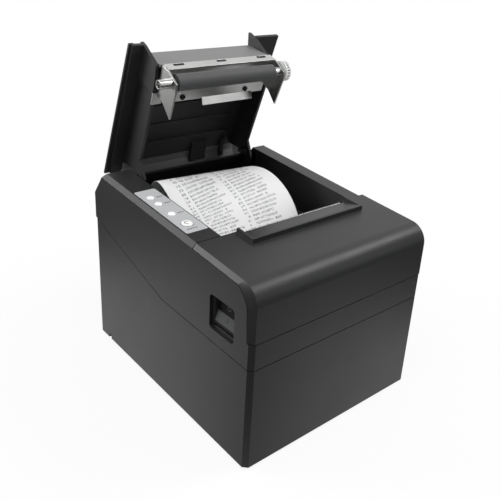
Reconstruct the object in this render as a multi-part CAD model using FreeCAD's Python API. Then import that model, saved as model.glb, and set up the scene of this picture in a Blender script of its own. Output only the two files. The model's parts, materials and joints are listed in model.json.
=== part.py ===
import FreeCAD
import Part
import math
import os
from FreeCAD import Vector

# A receipt printer standing open, in millimetres.
# +X is the printer's right, the front faces -Y, +Z is up and the floor is z = 0.

# The sizes below are measured from the middle of the case, and the finished pieces are moved so that
# the origin lies on the floor under the middle of the open printer
open_middle = 9.5

# Case sizes
case_width = 145.0
case_depth = 177.0
wall = 2.5
foot_height = 2.0
front_split = 69.8
knee_y = 0.4
knee_split = 71.5
rear_split = 96.2
seam_height = 86.6
rear_overhang = 1.8
bevel_foot = 113.8
bevel_top_y = 75.4
corner_chamfer = 2.85
rear_chamfer = 1.5
panel_gap = 0.3
seam_gap = 0.6

# Sloping deck
deck_front_y = -32.0
deck_front_z = 124.7
deck_slope = 4.346
deck_width = 20.0
ledge_drop = 1.9
rail_width = 11.0
rail_rear = 107.4
skirt_bottom = 97.0
skirt_rear = 72.0
skirt_wall = 2.0
cover_rounding = 12.3
rim_width = 2.3
wing_foot = 4.2
wing_shoulder = 5.8
wing_top = 3.4
shadow_gap = 0.5

# Paper exit on the front cover
lip_left = -42.0
lip_right = 51.5
lip_front = -17.5
lip_rear = -1.5
lip_height = 3.0
lip_width = 1.5
exit_front = -4.0
ramp_rise = 0.4
tear_bar_thickness = 0.8
tear_bar_left = -37.0
tear_bar_right = 46.0
tear_bar_top = 1.0
tear_bar_bottom = -7.0
tear_tooth = 2.0

# Lid, drawn closed in the deck frame and then swung open
lid_open = 73.87
lid_front = 0.5
lid_rear = 99.2
lid_wing_rear = 105.8
lid_right_rear = 110.5
lid_gap = 0.5
lid_lap_front = 1.5
lid_lap_rear = 3.9
lid_lap_height = 0.15
lid_lap_sheet = 1.5
lid_plate = 2.5
lid_crown = 1.6
lid_lip = 3.0
lid_lip_width = 2.0
lid_lip_front = 26.0
lid_wall_left = -43.5
lid_wall_right = 50.5
lid_arm_right = 55.5
lid_wall = 2.0
lid_wall_depth = 20.0
nose_rear = 25.2
nose_step = 0.4
nose_peaks = (0.4, 3.6)
chute_top_y = 9.0
chute_foot_y = 4.0
chute_wall = 2.0
liner_sheet = 1.2
liner_rear = 96.0
rear_wall_reach = 0.63
hinge_y = 81.8
hinge_z = 105.2
hinge_pin_radius = 1.5
hinge_eye_radius = 5.0
hinge_boss_width = 5.7

# Platen and its bracket
platen_y = 9.2
platen_z = -34.9
platen_radius = 5.5
platen_left = -37.9
platen_right = 42.5
shaft_radius = 2.0
shaft_left = -47.0
bush_radius = 3.1
bush_left = -50.5
bracket_sheet = 1.2
bracket_right = 50.2
bracket_front = 4.0
flange_rise = 1.3
bracket_rear = 32.5
bracket_lip = 3.8
bracket_slots = (-28.9, 5.3, 40.5)
bracket_slot_width = 8.4
side_plate_left = -41.0
side_plate_right = 49.0
tab_reach = 3.3
tab_front = 24.0
tab_inner = -36.9
tab_screws = ((-20.2, 29.6), (33.5, 29.0))
screw_radius = 1.0
screw_head_radius = 1.9
screw_head = 0.7

# Gears
gear_module = 0.6
pressure_angle = 20.0
tooth_backlash = 0.16
gear_left = 50.7
gear_width = 4.0
gear_shroud = 0.8
platen_teeth = 22
drive_teeth = 36
pinion_teeth = 18
cutter_pinion_teeth = 16
mesh_slack = 0.12
open_mesh_gap = 0.35

# Fits
slide_clearance = 0.3
running_clearance = 0.05
seat_clearance = 0.02

# Paper
roll_left = -37.5
roll_width = 80.0
full_roll_radius = 38.9
roll_radius = 31.0
roll_y = 44.5
core_radius = 8.5
core_wall = 1.5
arch_radius = 45.5
arch_y = 41.0
arch_z = 80.9
paper_thickness = 0.3

# Paper well
well_wall = 1.6
well_z = 85.8
well_lip = 80.0
well_flange = 2.0
cheek_gap = 0.8
cheek_wall = 2.0

# Mechanism frame
frame_sheet = 1.5
frame_left = -46.5
frame_right = 46.5
frame_floor = 58.0
frame_top = 112.0
frame_low_top = 96.5
frame_step_y = -42.0
frame_front = -70.0
frame_rear = -8.0
slot_width = 8.4

# Print head
head_thickness = 1.2
head_left = -38.5
head_right = 42.5
head_bottom = 80.0
head_top = 98.0
heatsink_depth = 6.0
heatsink_fins = 9

# Motors
motor_radius = 12.5
motor_length = 21.0
motor_turn = 196.0
drive_turn = 221.0
cutter_motor_radius = 10.0
cutter_motor_length = 24.0

# Cutter
cutter_deck = 102.5
cutter_sheet = 1.2
blade_thickness = 1.0
blade_tip = -37.0
blade_rear = -67.0
blade_left = -41.0
blade_right = 43.0
blade_rise = 4.0
cutter_stroke = 9.5
pinion_x = -28.0
pinion_y = -48.0

# Control panel
panel_inset = 3.9
panel_width = 15.6
panel_front = 11.2
panel_rear = 73.2
panel_thickness = 0.6
lamp_inset = 9.7
lamp_places = (36.7, 52.1, 61.7)
lamp_radius = 2.5
lamp_rise = 0.5
button_inset = 10.7
button_place = 21.3
button_radius = 3.5
button_rise = 1.0
button_travel = 0.8
board_drop = 8.0
board_sheet = 1.6

# Side switch
window_front = -73.0
window_rear = -50.2
window_bottom = 79.3
window_top = 101.6
window_corner = 2.5
switch_depth = 15.0
switch_rim = 1.4
rocker_swing = 10.0
rocker_half_width = 9.4
rocker_half_height = 8.5
rocker_inset = 8.5
rocker_pin_radius = 1.2

# Boards, sockets, feet and screws
board_standoff = 4.0
board_inset = 14.5
board_front = -2.0
hole_inset = 8.0
finger_notch_y = 72.6
finger_notch_width = 3.4
post_inset = 7.3
post_radius = 4.5
front_post_top = 60.0
rear_post_top = 84.0
case_screw_radius = 1.5
case_screw_head = 2.8
foot_radius = 6.0
foot_recess = 1.0
foot_inset_x = 16.0
foot_inset_y = 18.0

half_width = case_width / 2
front = -case_depth / 2
rear = case_depth / 2
rear_over = rear + rear_overhang
slope = math.radians(deck_slope)
deck_right_edge = -half_width + deck_width
rail_outer = half_width - wall
rail_inner = rail_outer - rail_width
lid_left = deck_right_edge + lid_gap
lid_right = half_width - lid_gap
panel_left = -half_width + panel_inset
panel_right = panel_left + panel_width
lamp_x = -half_width + lamp_inset
button_x = -half_width + button_inset
rocker_pivot_x = -half_width + rocker_inset
board_half = half_width - board_inset
well_radius = full_roll_radius + slide_clearance
roll_z = well_z - well_radius + slide_clearance + roll_radius
all_corners = [(sx, sy) for sx in (-1, 1) for sy in (-1, 1)]
boss_places = [(sx * (half_width - post_inset), sy * (rear - post_inset - 0.5)) for sx, sy in all_corners]
X_AXIS = Vector(1, 0, 0)
Y_AXIS = Vector(0, 1, 0)
Z_AXIS = Vector(0, 0, 1)


def block(x0, x1, y0, y1, z0, z1):
    """A plain box between two corners."""
    return Part.makeBox(x1 - x0, y1 - y0, z1 - z0, Vector(x0, y0, z0))


def rod_x(x0, x1, y, z, radius):
    return Part.makeCylinder(radius, x1 - x0, Vector(x0, y, z), X_AXIS)


def rod_y(x, y0, y1, z, radius):
    return Part.makeCylinder(radius, y1 - y0, Vector(x, y0, z), Y_AXIS)


def rod_z(x, y, z0, z1, radius):
    return Part.makeCylinder(radius, z1 - z0, Vector(x, y, z0), Z_AXIS)


def side_plate(points, x0, x1):
    """Extrude an outline given as (y, z) points across the width."""
    corners = [Vector(x0, y, z) for y, z in points]
    return Part.Face(Part.makePolygon(corners + corners[:1])).extrude(Vector(x1 - x0, 0, 0))


def plan_plate(points, z0, z1):
    """Extrude an outline given as (x, y) points upwards."""
    corners = [Vector(x, y, z0) for x, y in points]
    return Part.Face(Part.makePolygon(corners + corners[:1])).extrude(Vector(0, 0, z1 - z0))


def front_plate(points, y0, y1):
    """Extrude an outline given as (x, z) points rearwards."""
    corners = [Vector(x, y0, z) for x, z in points]
    return Part.Face(Part.makePolygon(corners + corners[:1])).extrude(Vector(0, y1 - y0, 0))


def joined(pieces):
    return pieces[0].fuse(pieces[1:]).removeSplitter()


def without(body, cuts):
    for cut in cuts:
        body = body.cut(cut)
    return body


def on_deck(shape):
    """Move a shape drawn on a level deck to the sloping deck of the printer."""
    placed = shape.copy()
    placed.rotate(Vector(0, 0, 0), X_AXIS, deck_slope)
    placed.translate(Vector(0, deck_front_y, deck_front_z))
    return placed


def to_deck(y, z):
    """Deck coordinates of a point given in the printer's own frame."""
    dy = y - deck_front_y
    dz = z - deck_front_z
    return (dy * math.cos(slope) + dz * math.sin(slope), dz * math.cos(slope) - dy * math.sin(slope))


def from_deck(y, z):
    """Printer coordinates of a point given on the deck."""
    return (deck_front_y + y * math.cos(slope) - z * math.sin(slope),
            deck_front_z + y * math.sin(slope) + z * math.cos(slope))


def swung_open(shape):
    """Place a lid piece on the deck and swing it open about the hinge."""
    placed = on_deck(shape)
    placed.rotate(Vector(0, hinge_y, hinge_z), X_AXIS, -lid_open)
    return placed


def deck_height(y, drop=0.0):
    """Height of the deck plane, or of a plane parallel to it, at a given depth."""
    return deck_front_z + (y - deck_front_y) * math.tan(slope) - drop / math.cos(slope)


def filleted(shape, radius, chooser):
    return shape.makeFillet(radius, [edge for edge in shape.Edges if chooser(edge)])


def chamfered(shape, size, chooser):
    return shape.makeChamfer(size, [edge for edge in shape.Edges if chooser(edge)])


def runs_along(edge, axis):
    ends = [vertex.Point for vertex in edge.Vertexes]
    return len(ends) == 2 and abs((ends[1] - ends[0]).normalize().dot(axis)) > 0.999


def half_tooth(teeth, radius):
    """Half the angle of an involute tooth at a radius."""
    pitch_radius = gear_module * teeth / 2
    base_angle = math.radians(pressure_angle)
    base_radius = pitch_radius * math.cos(base_angle)
    at_radius = math.acos(min(1.0, base_radius / max(radius, base_radius)))
    pitch_half = math.pi / (2 * teeth) - tooth_backlash / (2 * pitch_radius)
    return pitch_half + math.tan(base_angle) - base_angle - math.tan(at_radius) + at_radius


def gear_outline(teeth):
    """Corner points of a spur gear, as (radius, angle) turned into plane points."""
    pitch_radius = gear_module * teeth / 2
    tip = pitch_radius + 0.9 * gear_module
    root = pitch_radius - 1.2 * gear_module
    steps = (root, pitch_radius - 0.4 * gear_module, pitch_radius + 0.3 * gear_module, tip)
    points = []
    for tooth in range(teeth):
        middle = 2 * math.pi * tooth / teeth
        flank = [(radius, middle - half_tooth(teeth, radius)) for radius in steps]
        back = [(radius, middle + half_tooth(teeth, radius)) for radius in reversed(steps)]
        points += [(radius * math.cos(angle), radius * math.sin(angle)) for radius, angle in flank + back]
    return points


def gear_x(teeth, x0, x1, y, z, bore, turn):
    """A spur gear on an axle across the width, its first tooth turned to an angle from +Y."""
    gear = side_plate(gear_outline(teeth), x0, x1)
    gear.rotate(Vector(0, 0, 0), X_AXIS, turn)
    gear.translate(Vector(0, y, z))
    return gear.cut(rod_x(x0 - 1, x1 + 1, y, z, bore))


def write_step(name, shape):
    solids = shape.Solids
    whole = solids[0] if len(solids) == 1 else Part.Compound(solids)
    whole.translate(Vector(0, -open_middle, 0))
    whole.exportStep(os.path.join("parts", name + ".step"))


# Lower case: a tub whose top edge climbs from a knee at mid depth to the rear
socket_floor = foot_height + wall + board_standoff + board_sheet


def make_lower_case():
    outer = side_plate([(front, foot_height), (rear, foot_height), (rear, rear_split),
                        (knee_y, knee_split), (front, front_split)], -half_width, half_width)
    outer = chamfered(outer, corner_chamfer,
                      lambda e: runs_along(e, Z_AXIS) and abs(e.CenterOfMass.y - front) < 0.1)
    outer = chamfered(outer, rear_chamfer,
                      lambda e: runs_along(e, Z_AXIS) and abs(e.CenterOfMass.y - rear) < 0.1)
    cavity = block(-half_width + wall, half_width - wall, front + wall, rear - wall,
                   foot_height + wall, rear_split + wall)
    tub = outer.cut(cavity)
    additions = [tub]
    cuts = []
    for x, y in boss_places:
        top = front_post_top if y < 0 else rear_post_top
        additions.append(rod_z(x, y, foot_height + wall / 2, top, post_radius))
        cuts.append(rod_z(x, y, foot_height - 1, top - 3, case_screw_head + slide_clearance))
        cuts.append(rod_z(x, y, top - 4, top + 1, case_screw_radius + slide_clearance))
    for x, y in standoff_places:
        additions.append(rod_z(x, y, foot_height + wall / 2, foot_height + wall + board_standoff, 3.0))
    for x, y in frame_post_places:
        additions.append(rod_z(x, y, foot_height + wall / 2, frame_floor, 4.0))
    for x, y in foot_places:
        cuts.append(rod_z(x, y, foot_height - 1, foot_height + foot_recess, foot_radius))
    for x, width, height in socket_openings:
        cuts.append(block(x - width / 2, x + width / 2, rear - 2 * wall, rear + 1,
                          socket_floor - slide_clearance, socket_floor + height))
    # Cooling slots through the floor under the board
    for row in range(6):
        y = 14.0 + row * 7.0
        cuts.append(block(-22.0, 22.0, y, y + 2.5, foot_height - 1, foot_height + wall + 1))
    # Small finger notch low on the left side near the rear
    cuts.append(block(-half_width - 1, -half_width + wall / 2, finger_notch_y,
                      finger_notch_y + finger_notch_width, foot_height - 1, foot_height + 3.0))
    return without(joined(additions), cuts)


standoff_places = [(sx * (board_half - hole_inset), y) for sx in (-1, 1) for y in (4.0, 66.0)]
frame_post_places = [(x, y) for x in (-38.0, 38.0) for y in (-62.0, -16.0)]
foot_places = [(sx * (half_width - foot_inset_x), sy * (rear - foot_inset_y)) for sx, sy in all_corners]

# Sockets in the rear wall as (centre x, width, height) of their openings
power_socket = (-board_half + 14.0, 13.0, 13.6)
data_socket = (-board_half + 40.0, 12.6, 11.2)
drawer_socket = (board_half - 50.0, 14.2, 13.2)
serial_socket = (board_half - 20.0, 31.6, 13.0)
socket_openings = (power_socket, data_socket, drawer_socket, serial_socket)


# Cover outline shared by the front cover and the side panels beside it
arc_y = front + cover_rounding
arc_z = deck_height(arc_y) - cover_rounding / math.cos(slope)


def closed_wire(foot, start, middle, end, top, low):
    edges = [Part.makeLine(foot, start), Part.Arc(start, middle, end).toShape(), Part.makeLine(end, top),
             Part.makeLine(top, low), Part.makeLine(low, foot)]
    return Part.Wire(edges)


def cover_wire(x, inset, bottom, back):
    """The front cover's outline at a place across the width, drawn in by an inset."""
    radius = cover_rounding - inset
    half = math.radians(135.0) + slope / 2
    return closed_wire(Vector(x, front + inset, bottom), Vector(x, front + inset, arc_z),
                       Vector(x, arc_y + radius * math.cos(half), arc_z + radius * math.sin(half)),
                       Vector(x, arc_y - radius * math.sin(slope), arc_z + radius * math.cos(slope)),
                       Vector(x, back, deck_height(back, inset)), Vector(x, back, bottom))


def wing_wire(x, gap, bottom, back):
    """Outline of the side panel where it fills the end of the cover, drawn larger by a gap."""
    shoulder_y = front + wing_shoulder - gap
    end_y = arc_y + 1.5
    return closed_wire(Vector(x, front + wing_foot - gap, bottom), Vector(x, shoulder_y, arc_z - 0.5),
                       Vector(x, arc_y - 2.6 - 0.7 * gap, arc_z + 5.5 + 0.7 * gap),
                       Vector(x, end_y, deck_height(end_y, wing_top - gap)),
                       Vector(x, back, deck_height(back, wing_top - gap)), Vector(x, back, bottom))


def filled(wire, width):
    return Part.Face(wire).extrude(Vector(width, 0, 0))


def make_front_cover():
    """A rounded shell whose ends narrow to a rim around the side panels."""
    back = deck_front_y - seam_gap
    low = seam_height + seam_gap
    flat_end = half_width - rim_width
    pieces = [filled(cover_wire(-flat_end, 0.0, low, back), 2 * flat_end)]
    for side in (-1, 1):
        pieces.append(Part.makeLoft([cover_wire(side * flat_end, 0.0, low, back),
                                     wing_wire(side * half_width, shadow_gap, low, back)], True, True))
    inner = half_width - wall - shadow_gap - 0.5
    cavities = [filled(cover_wire(-inner, wall, low - 1, back + 1), 2 * inner),
                filled(wing_wire(-half_width - 1, shadow_gap, low - 1, back + 1), half_width - inner + 2),
                filled(wing_wire(half_width + 1, shadow_gap, low - 1, back + 1), inner - half_width - 2)]
    shell = without(joined(pieces), cavities)
    lip = side_plate([(lip_front, -wall / 2), (lip_front + 0.4, lip_height), (lip_front + 1.9, lip_height),
                      (exit_front, ramp_rise), (exit_front, -wall / 2)], lip_left, lip_right)
    arms = [block(x, x + lip_width, lip_front + 1, lip_rear, -wall / 2, lip_height)
            for x in (lip_left, lip_right - lip_width)]
    exit_cut = block(lip_left + lip_width, lip_right - lip_width, exit_front, 5.0, -10.0, 10.0)
    cover = joined([shell, on_deck(lip)] + [on_deck(arm) for arm in arms])
    cover = cover.cut(on_deck(exit_cut))
    # Clips under the top and inside the front wall hold the cover to the upper case
    behind = front + wall + 0.1
    clips = []
    for x in (-45.0, 0.0, 45.0):
        clips.append(block(x - 4, x + 4, front + wall / 2, behind + 1.5, seam_height + 1.0,
                           seam_height + 8.0))
        clips.append(block(x - 4, x + 4, behind, behind + 1.5, seam_height - 5.0, seam_height + 2.0))
    return joined([cover] + clips)


def make_tear_bar():
    count = int((tear_bar_right - tear_bar_left) / tear_tooth)
    points = [(tear_bar_right, tear_bar_bottom), (tear_bar_left, tear_bar_bottom)]
    for tooth in range(count):
        x = tear_bar_left + tooth * tear_tooth
        points += [(x, tear_bar_top - 0.8), (x + tear_tooth / 2, tear_bar_top)]
    points.append((tear_bar_left + count * tear_tooth, tear_bar_top - 0.8))
    bar = front_plate(points, exit_front, exit_front + tear_bar_thickness)
    return on_deck(bar)


# Upper case: side panels, front band, rear wall, left deck and right ledge
def bevel_point(fraction):
    """A point on the rear bevel, from its foot at 0 to the deck at 1."""
    top = deck_height(bevel_top_y)
    return (rear_over + fraction * (bevel_top_y - rear_over), bevel_foot + fraction * (top - bevel_foot))


def side_panel(x0, x1, top_drop, bevel_end):
    """One side of the upper case, running up to the front cover's chamfer and the deck."""
    lift = seam_gap
    top_rear = bevel_point(bevel_end)
    panel = side_plate([(front, front_split + lift), (knee_y, knee_split + lift), (rear, rear_split + lift),
                        (rear_over, rear_split + lift + rear_overhang), (rear_over, bevel_foot), top_rear,
                        (deck_front_y, deck_height(deck_front_y, top_drop)),
                        (deck_front_y, seam_height), (front, seam_height)], x0, x1)
    wing = filled(wing_wire(x0, 0.0, seam_height - 1, deck_front_y + 0.1), x1 - x0)
    return joined([panel, wing])


def make_upper_case():
    lift = seam_gap
    ledge_side = ledge_drop + lid_lip + 0.5
    left = side_panel(-half_width, -half_width + wall, 0.0, 1.0)
    right = side_panel(half_width - wall, half_width, ledge_side, 0.7)
    band = block(-half_width, half_width, front, front + wall, front_split + lift, seam_height)
    edge = bevel_point(rear_wall_reach)
    rear_wall = side_plate([(rear, rear_split + lift), (rear_over, rear_split + lift + rear_overhang),
                            (rear_over, bevel_foot), edge, (edge[0] - 2.2, edge[1] - 0.4),
                            (rear_over - wall, bevel_foot - 0.8), (rear_over - wall, rear_split + lift + 2.5),
                            (rear - wall, rear_split + lift)], -half_width, half_width)
    top = bevel_point(1.0)
    left_bevel = side_plate([edge, top, (top[0] - 3.0, top[1] - 2.7), (edge[0] - 2.2, edge[1] - 1.6)],
                            -half_width, deck_right_edge)
    deck_end = to_deck(bevel_top_y, deck_height(bevel_top_y))[0]
    deck = on_deck(block(-half_width, deck_right_edge, 0.0, deck_end, -wall, 0.0))
    rail = on_deck(block(rail_inner, rail_outer, 0.0, rail_rear, -ledge_drop - wall, -ledge_drop))
    rail_side = on_deck(block(rail_outer - skirt_wall, rail_outer, 0.0, rail_rear - 2.0, -14.0, -ledge_drop))
    rail_end = from_deck(rail_rear, -ledge_drop)
    rail_back = side_plate([rail_end, (edge[0] - 1.1, edge[1] - 0.8), (edge[0] - 1.1, edge[1] - 3.4),
                            (rail_end[0] - 2.6, rail_end[1] - 2.4)], rail_inner, rail_outer + 0.5)
    skirts = []
    for x, drop in ((deck_right_edge - skirt_wall, 1.0), (rail_inner, 3.0)):
        skirts.append(side_plate([(deck_front_y, skirt_bottom), (skirt_rear, skirt_bottom),
                                  (skirt_rear, deck_height(skirt_rear, drop)),
                                  (deck_front_y, deck_height(deck_front_y, drop))], x, x + skirt_wall))
    hinge_blocks = [block(x, x + hinge_boss_width, hinge_y - 5.0, rear_over - wall / 2,
                          hinge_z - 5.5, hinge_z + 5.5) for x in hinge_boss_starts]
    # Pillars under the deck carry the panel board
    bosses = [on_deck(rod_z(x, y, -board_drop, -wall / 2, 1.6)) for x, y in pillar_places]
    holes = []
    for x, y in boss_places:
        low = (front_post_top if y < 0 else rear_post_top) + panel_gap
        high = seam_height - 2.0 if y < 0 else 107.0
        bosses.append(rod_z(x, y, low, high, post_radius))
        reach = math.copysign(half_width - wall / 2, x)
        bosses.append(block(min(x, reach), max(x, reach), y - 1.5, y + 1.5, high - 9.5, high))
        holes.append(rod_z(x, y, low - 1, low + 10.0, case_screw_radius + seat_clearance))
    case = joined([left, right, band, rear_wall, left_bevel, deck, rail, rail_side, rail_back]
                  + skirts + hinge_blocks + bosses)
    cuts = list(holes)
    for start in hinge_boss_starts:
        cuts.append(rod_x(start - 1, start + hinge_boss_width + 1, hinge_y, hinge_z,
                          hinge_pin_radius + seat_clearance))
    # Chamfers down the front corners and along the left top edge
    for side in (-1, 1):
        cuts.append(plan_plate([(side * (half_width - corner_chamfer - 1), front - 1),
                                (side * (half_width + 1), front + corner_chamfer + 1),
                                (side * (half_width + 1), front - 1)], front_split - 1, seam_height + 1))
        cuts.append(plan_plate([(side * (half_width - rear_chamfer - 1), rear_over + 1),
                                (side * (half_width + 1), rear_over - rear_chamfer - 1),
                                (side * (half_width + 1), rear_over + 1)], rear_split - 5, bevel_foot + 20))
    cuts.append(on_deck(front_plate([(-half_width - 1, -corner_chamfer - 1), (-half_width - 1, 1.0),
                                     (-half_width + corner_chamfer + 1, 1.0)], -2.0, deck_end + 3)))
    # Recess for the control panel, with holes for the lamps and the button
    cuts.append(on_deck(block(panel_left - 0.1, panel_right + 0.1, panel_front - 0.1, panel_rear + 0.1,
                              -panel_thickness, 1.0)))
    for place in lamp_places:
        cuts.append(on_deck(rod_z(lamp_x, place, -wall - 1, 1.0, lamp_radius + 0.15)))
    cuts.append(on_deck(rod_z(button_x, button_place, -wall - 1, 1.0, button_radius + slide_clearance)))
    # Window of the side switch
    window = block(-half_width - 1, -half_width + wall + 1, window_front, window_rear,
                   window_bottom, window_top)
    cuts.append(filleted(window, window_corner, lambda e: runs_along(e, X_AXIS)))
    return without(case, cuts)


frame_walls = (lid_wall_left, lid_arm_right - lid_wall)
hinge_boss_starts = (lid_wall_left - 0.6 - hinge_boss_width, lid_arm_right + 0.6)
pillar_places = [(panel_right - 4.0, 28.0), (panel_right - 4.0, 66.0), (panel_left + 2.1, 44.0)]


# Control panel with its lamps, button and board
def make_led_panel():
    plate = block(panel_left, panel_right, panel_front, panel_rear, -panel_thickness, 0.0)
    plate = filleted(plate, 1.5, lambda e: runs_along(e, Z_AXIS))
    cuts = [rod_z(lamp_x, place, -2.0, 1.0, lamp_radius + 0.1) for place in lamp_places]
    cuts.append(rod_z(button_x, button_place, -2.0, 1.0, button_radius + slide_clearance))
    return on_deck(without(plate, cuts))


def make_led_lenses():
    lenses = []
    for place in lamp_places:
        lens = rod_z(lamp_x, place, -board_drop, lamp_rise, lamp_radius)
        lens = chamfered(lens, 0.4, lambda e: abs(e.CenterOfMass.z - lamp_rise) < 0.01)
        lenses.append(on_deck(lens))
    return Part.Compound(lenses)


def make_feed_button():
    cap = rod_z(button_x, button_place, -wall - 1.0, button_rise, button_radius)
    cap = chamfered(cap, 0.5, lambda e: abs(e.CenterOfMass.z - button_rise) < 0.01)
    flange = rod_z(button_x, button_place, -wall - 1.2, -wall - 0.1, button_radius + 1.2)
    return on_deck(joined([cap, flange]))


def make_panel_board():
    board = block(panel_left - 0.4, panel_right - 1.8, panel_front + 4.0, panel_rear - 1.0,
                  -board_drop - board_sheet, -board_drop)
    return on_deck(board)


def make_feed_switch():
    body = block(button_x - 3, button_x + 3, button_place - 3, button_place + 3,
                 -board_drop, -board_drop + 2.6)
    stem = rod_z(button_x, button_place, -board_drop + 2.0, -wall - 1.2 - button_travel - 0.1, 1.7)
    return on_deck(joined([body, stem]))


# Side switch: a housing behind the window and a rocker on a pin along the depth
switch_y = (window_front + window_rear) / 2
switch_z = (window_bottom + window_top) / 2


def make_switch_housing():
    x0 = -half_width + wall + 0.05
    half_y = rocker_half_width + 0.3 + 2.4
    half_z = rocker_half_height + 1.1 + switch_rim + 1.4
    body = block(x0, x0 + switch_depth, switch_y - half_y, switch_y + half_y,
                 switch_z - half_z, switch_z + half_z)
    well = block(x0 - 1, rocker_pivot_x + 4.0,
                 switch_y - rocker_half_width - 0.3, switch_y + rocker_half_width + 0.3,
                 switch_z - rocker_half_height - 1.1, switch_z + rocker_half_height + 1.1)
    pin_hole = rod_y(rocker_pivot_x, switch_y - rocker_half_width - 1.6, switch_y + rocker_half_width + 1.6,
                     switch_z, rocker_pin_radius + running_clearance)
    tabs = [block(x0 + switch_depth - 0.5, x0 + switch_depth + 6.0, switch_y - 0.4, switch_y + 0.4,
                  switch_z + dz - 2.4, switch_z + dz + 2.4) for dz in (-6.0, 6.0)]
    return joined([without(body, [well, pin_hole])] + tabs)


def make_power_rocker():
    outline = [(-3.8, 0.0), (-5.0, rocker_half_height), (1.5, rocker_half_height - 1.5),
               (2.8, 0.0), (1.5, -rocker_half_height + 1.5), (-5.0, -rocker_half_height)]
    rocker = front_plate([(rocker_pivot_x + x, switch_z + z) for x, z in outline],
                         switch_y - rocker_half_width, switch_y + rocker_half_width)
    pin = rod_y(rocker_pivot_x, switch_y - rocker_half_width - 1.4, switch_y + rocker_half_width + 1.4,
                switch_z, rocker_pin_radius)
    rocker = joined([rocker, pin])
    rocker.rotate(Vector(rocker_pivot_x, 0, switch_z), Y_AXIS, rocker_swing)
    return rocker


# Lid: an outer cover, an inner frame with the hinge arms, and the platen unit it carries
hinge_deck = to_deck(hinge_y, hinge_z)
chute_head = 1.2
chute_head_height = -ledge_drop + lid_plate + lid_crown
chute_lean = (chute_top_y - chute_foot_y) / (lid_plate + lid_crown + lid_wall_depth)
frame_web_rear = 40.0
nose_left = lid_wall_left - nose_step
nose_right = lid_wall_right + nose_step


def make_lid_cover():
    plate_top = -ledge_drop + lid_plate
    plate = block(lid_left, lid_right, lid_front, lid_rear, -ledge_drop, plate_top)
    wings = [block(x0, x1, lid_rear - 1.0, y1, -ledge_drop, plate_top)
             for x0, x1, y1 in ((lid_left, lid_wall_left, lid_wing_rear),
                                (rail_inner - 0.7, lid_right, lid_right_rear))]
    crown = block(lid_wall_left, lid_wall_right, lid_front + 1.0, lid_rear - 5.0, plate_top - 0.5,
                  plate_top + lid_crown)
    crown = chamfered(crown, 1.4, lambda e: abs(e.CenterOfMass.z - plate_top - lid_crown) < 0.01)
    # The left edge laps over the deck, the right edge turns down outside the rail
    lap = plan_plate([(lid_left - lid_lap_front, lid_front), (lid_left + 2.0, lid_front),
                      (lid_left + 2.0, lid_wing_rear), (lid_left - lid_lap_rear, lid_wing_rear)],
                     lid_lap_height, lid_lap_height + lid_lap_sheet)
    lip = side_plate([(lid_lip_front, -ledge_drop), (lid_rear - 2.0, -ledge_drop),
                      (lid_rear - 2.0, -ledge_drop - lid_lip), (lid_lip_front + 8.0, -ledge_drop - lid_lip)],
                     lid_right - lid_lip_width, lid_right)
    above = chute_head_height + 3.0
    below = chute_head_height - 9.0
    notch = side_plate([(chute_back(3.0), above), (lid_front - 1, above), (lid_front - 1, below),
                        (chute_back(-9.0), below)], nose_left - seat_clearance, nose_right + seat_clearance)
    return swung_open(without(joined([plate, crown, lap, lip] + wings), [notch]))


def make_hinge_cover():
    """Strip behind the lid's rear edge that curls down over the hinge."""
    low = -ledge_drop - seat_clearance
    start = lid_rear + seat_clearance
    under = low - liner_sheet
    curl = side_plate([(liner_rear + 0.5, low), (start, low), (start, -ledge_drop + lid_plate), (103.4, -1.4),
                       (108.6, -6.2), (106.8, -7.6), (101.7, -3.5), (98.5, under), (liner_rear + 0.5, under)],
                      lid_wall_left + seat_clearance, rail_inner - 0.7 - seat_clearance)
    return swung_open(curl)


def make_lid_liner():
    """Inner sheet of the lid behind the floor web, with stiffening bars and two tabs over the hinge."""
    low = -ledge_drop
    left = lid_wall_left + lid_wall + seat_clearance
    right = lid_arm_right - lid_wall - seat_clearance
    under = low - liner_sheet
    sheet = block(left, right, frame_web_rear + seat_clearance, liner_rear, under, low)
    bars = [block(left + 6.0, right - 9.0, y, y + 1.6, under - 1.0, under + 0.2) for y in (48.0, 64.0, 80.0)]
    tab = [(88.0, under + 0.2), (95.5, under + 0.2), (95.8, under - 0.1), (101.4, under - 1.2), (104.6, -6.6),
           (103.4, -7.4), (100.2, under - 2.6), (88.0, under - 1.2)]
    tabs = [side_plate(tab, x0, x1) for x0, x1 in ((14.6, 28.7), (43.0, 46.4))]
    return swung_open(joined([sheet] + bars + tabs))


def chute_back(above):
    """Depth of the back of the chute's head, at a height above the top of the head."""
    return chute_top_y + chute_head + seat_clearance + above * chute_lean


def make_lid_nose():
    """Front end of the lid: two stepped side walls with peaked ribs, joined by a web under the cover."""
    low = -ledge_drop
    deep = low - lid_wall_depth
    rib_back = chute_back(0.0) - 2 * seat_clearance
    rib_foot = chute_back(low - chute_head_height) - 2 * seat_clearance
    walls = []
    for peak, x0, x1 in zip(nose_peaks, (nose_left, lid_wall_right - lid_wall),
                            (lid_wall_left + lid_wall, nose_right)):
        walls.append(side_plate([(lid_front + 0.2, chute_head_height + peak), (lid_front + 0.5, low),
                                 (5.7, deep + 2.5), (17.2, deep + 0.5), (nose_rear, deep), (nose_rear, low),
                                 (rib_foot, low), (rib_back, chute_head_height)], x0, x1))
    web = block(nose_left, nose_right, 17.0, nose_rear, low - 1.6, low)
    return swung_open(joined(walls + [web]))


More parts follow.
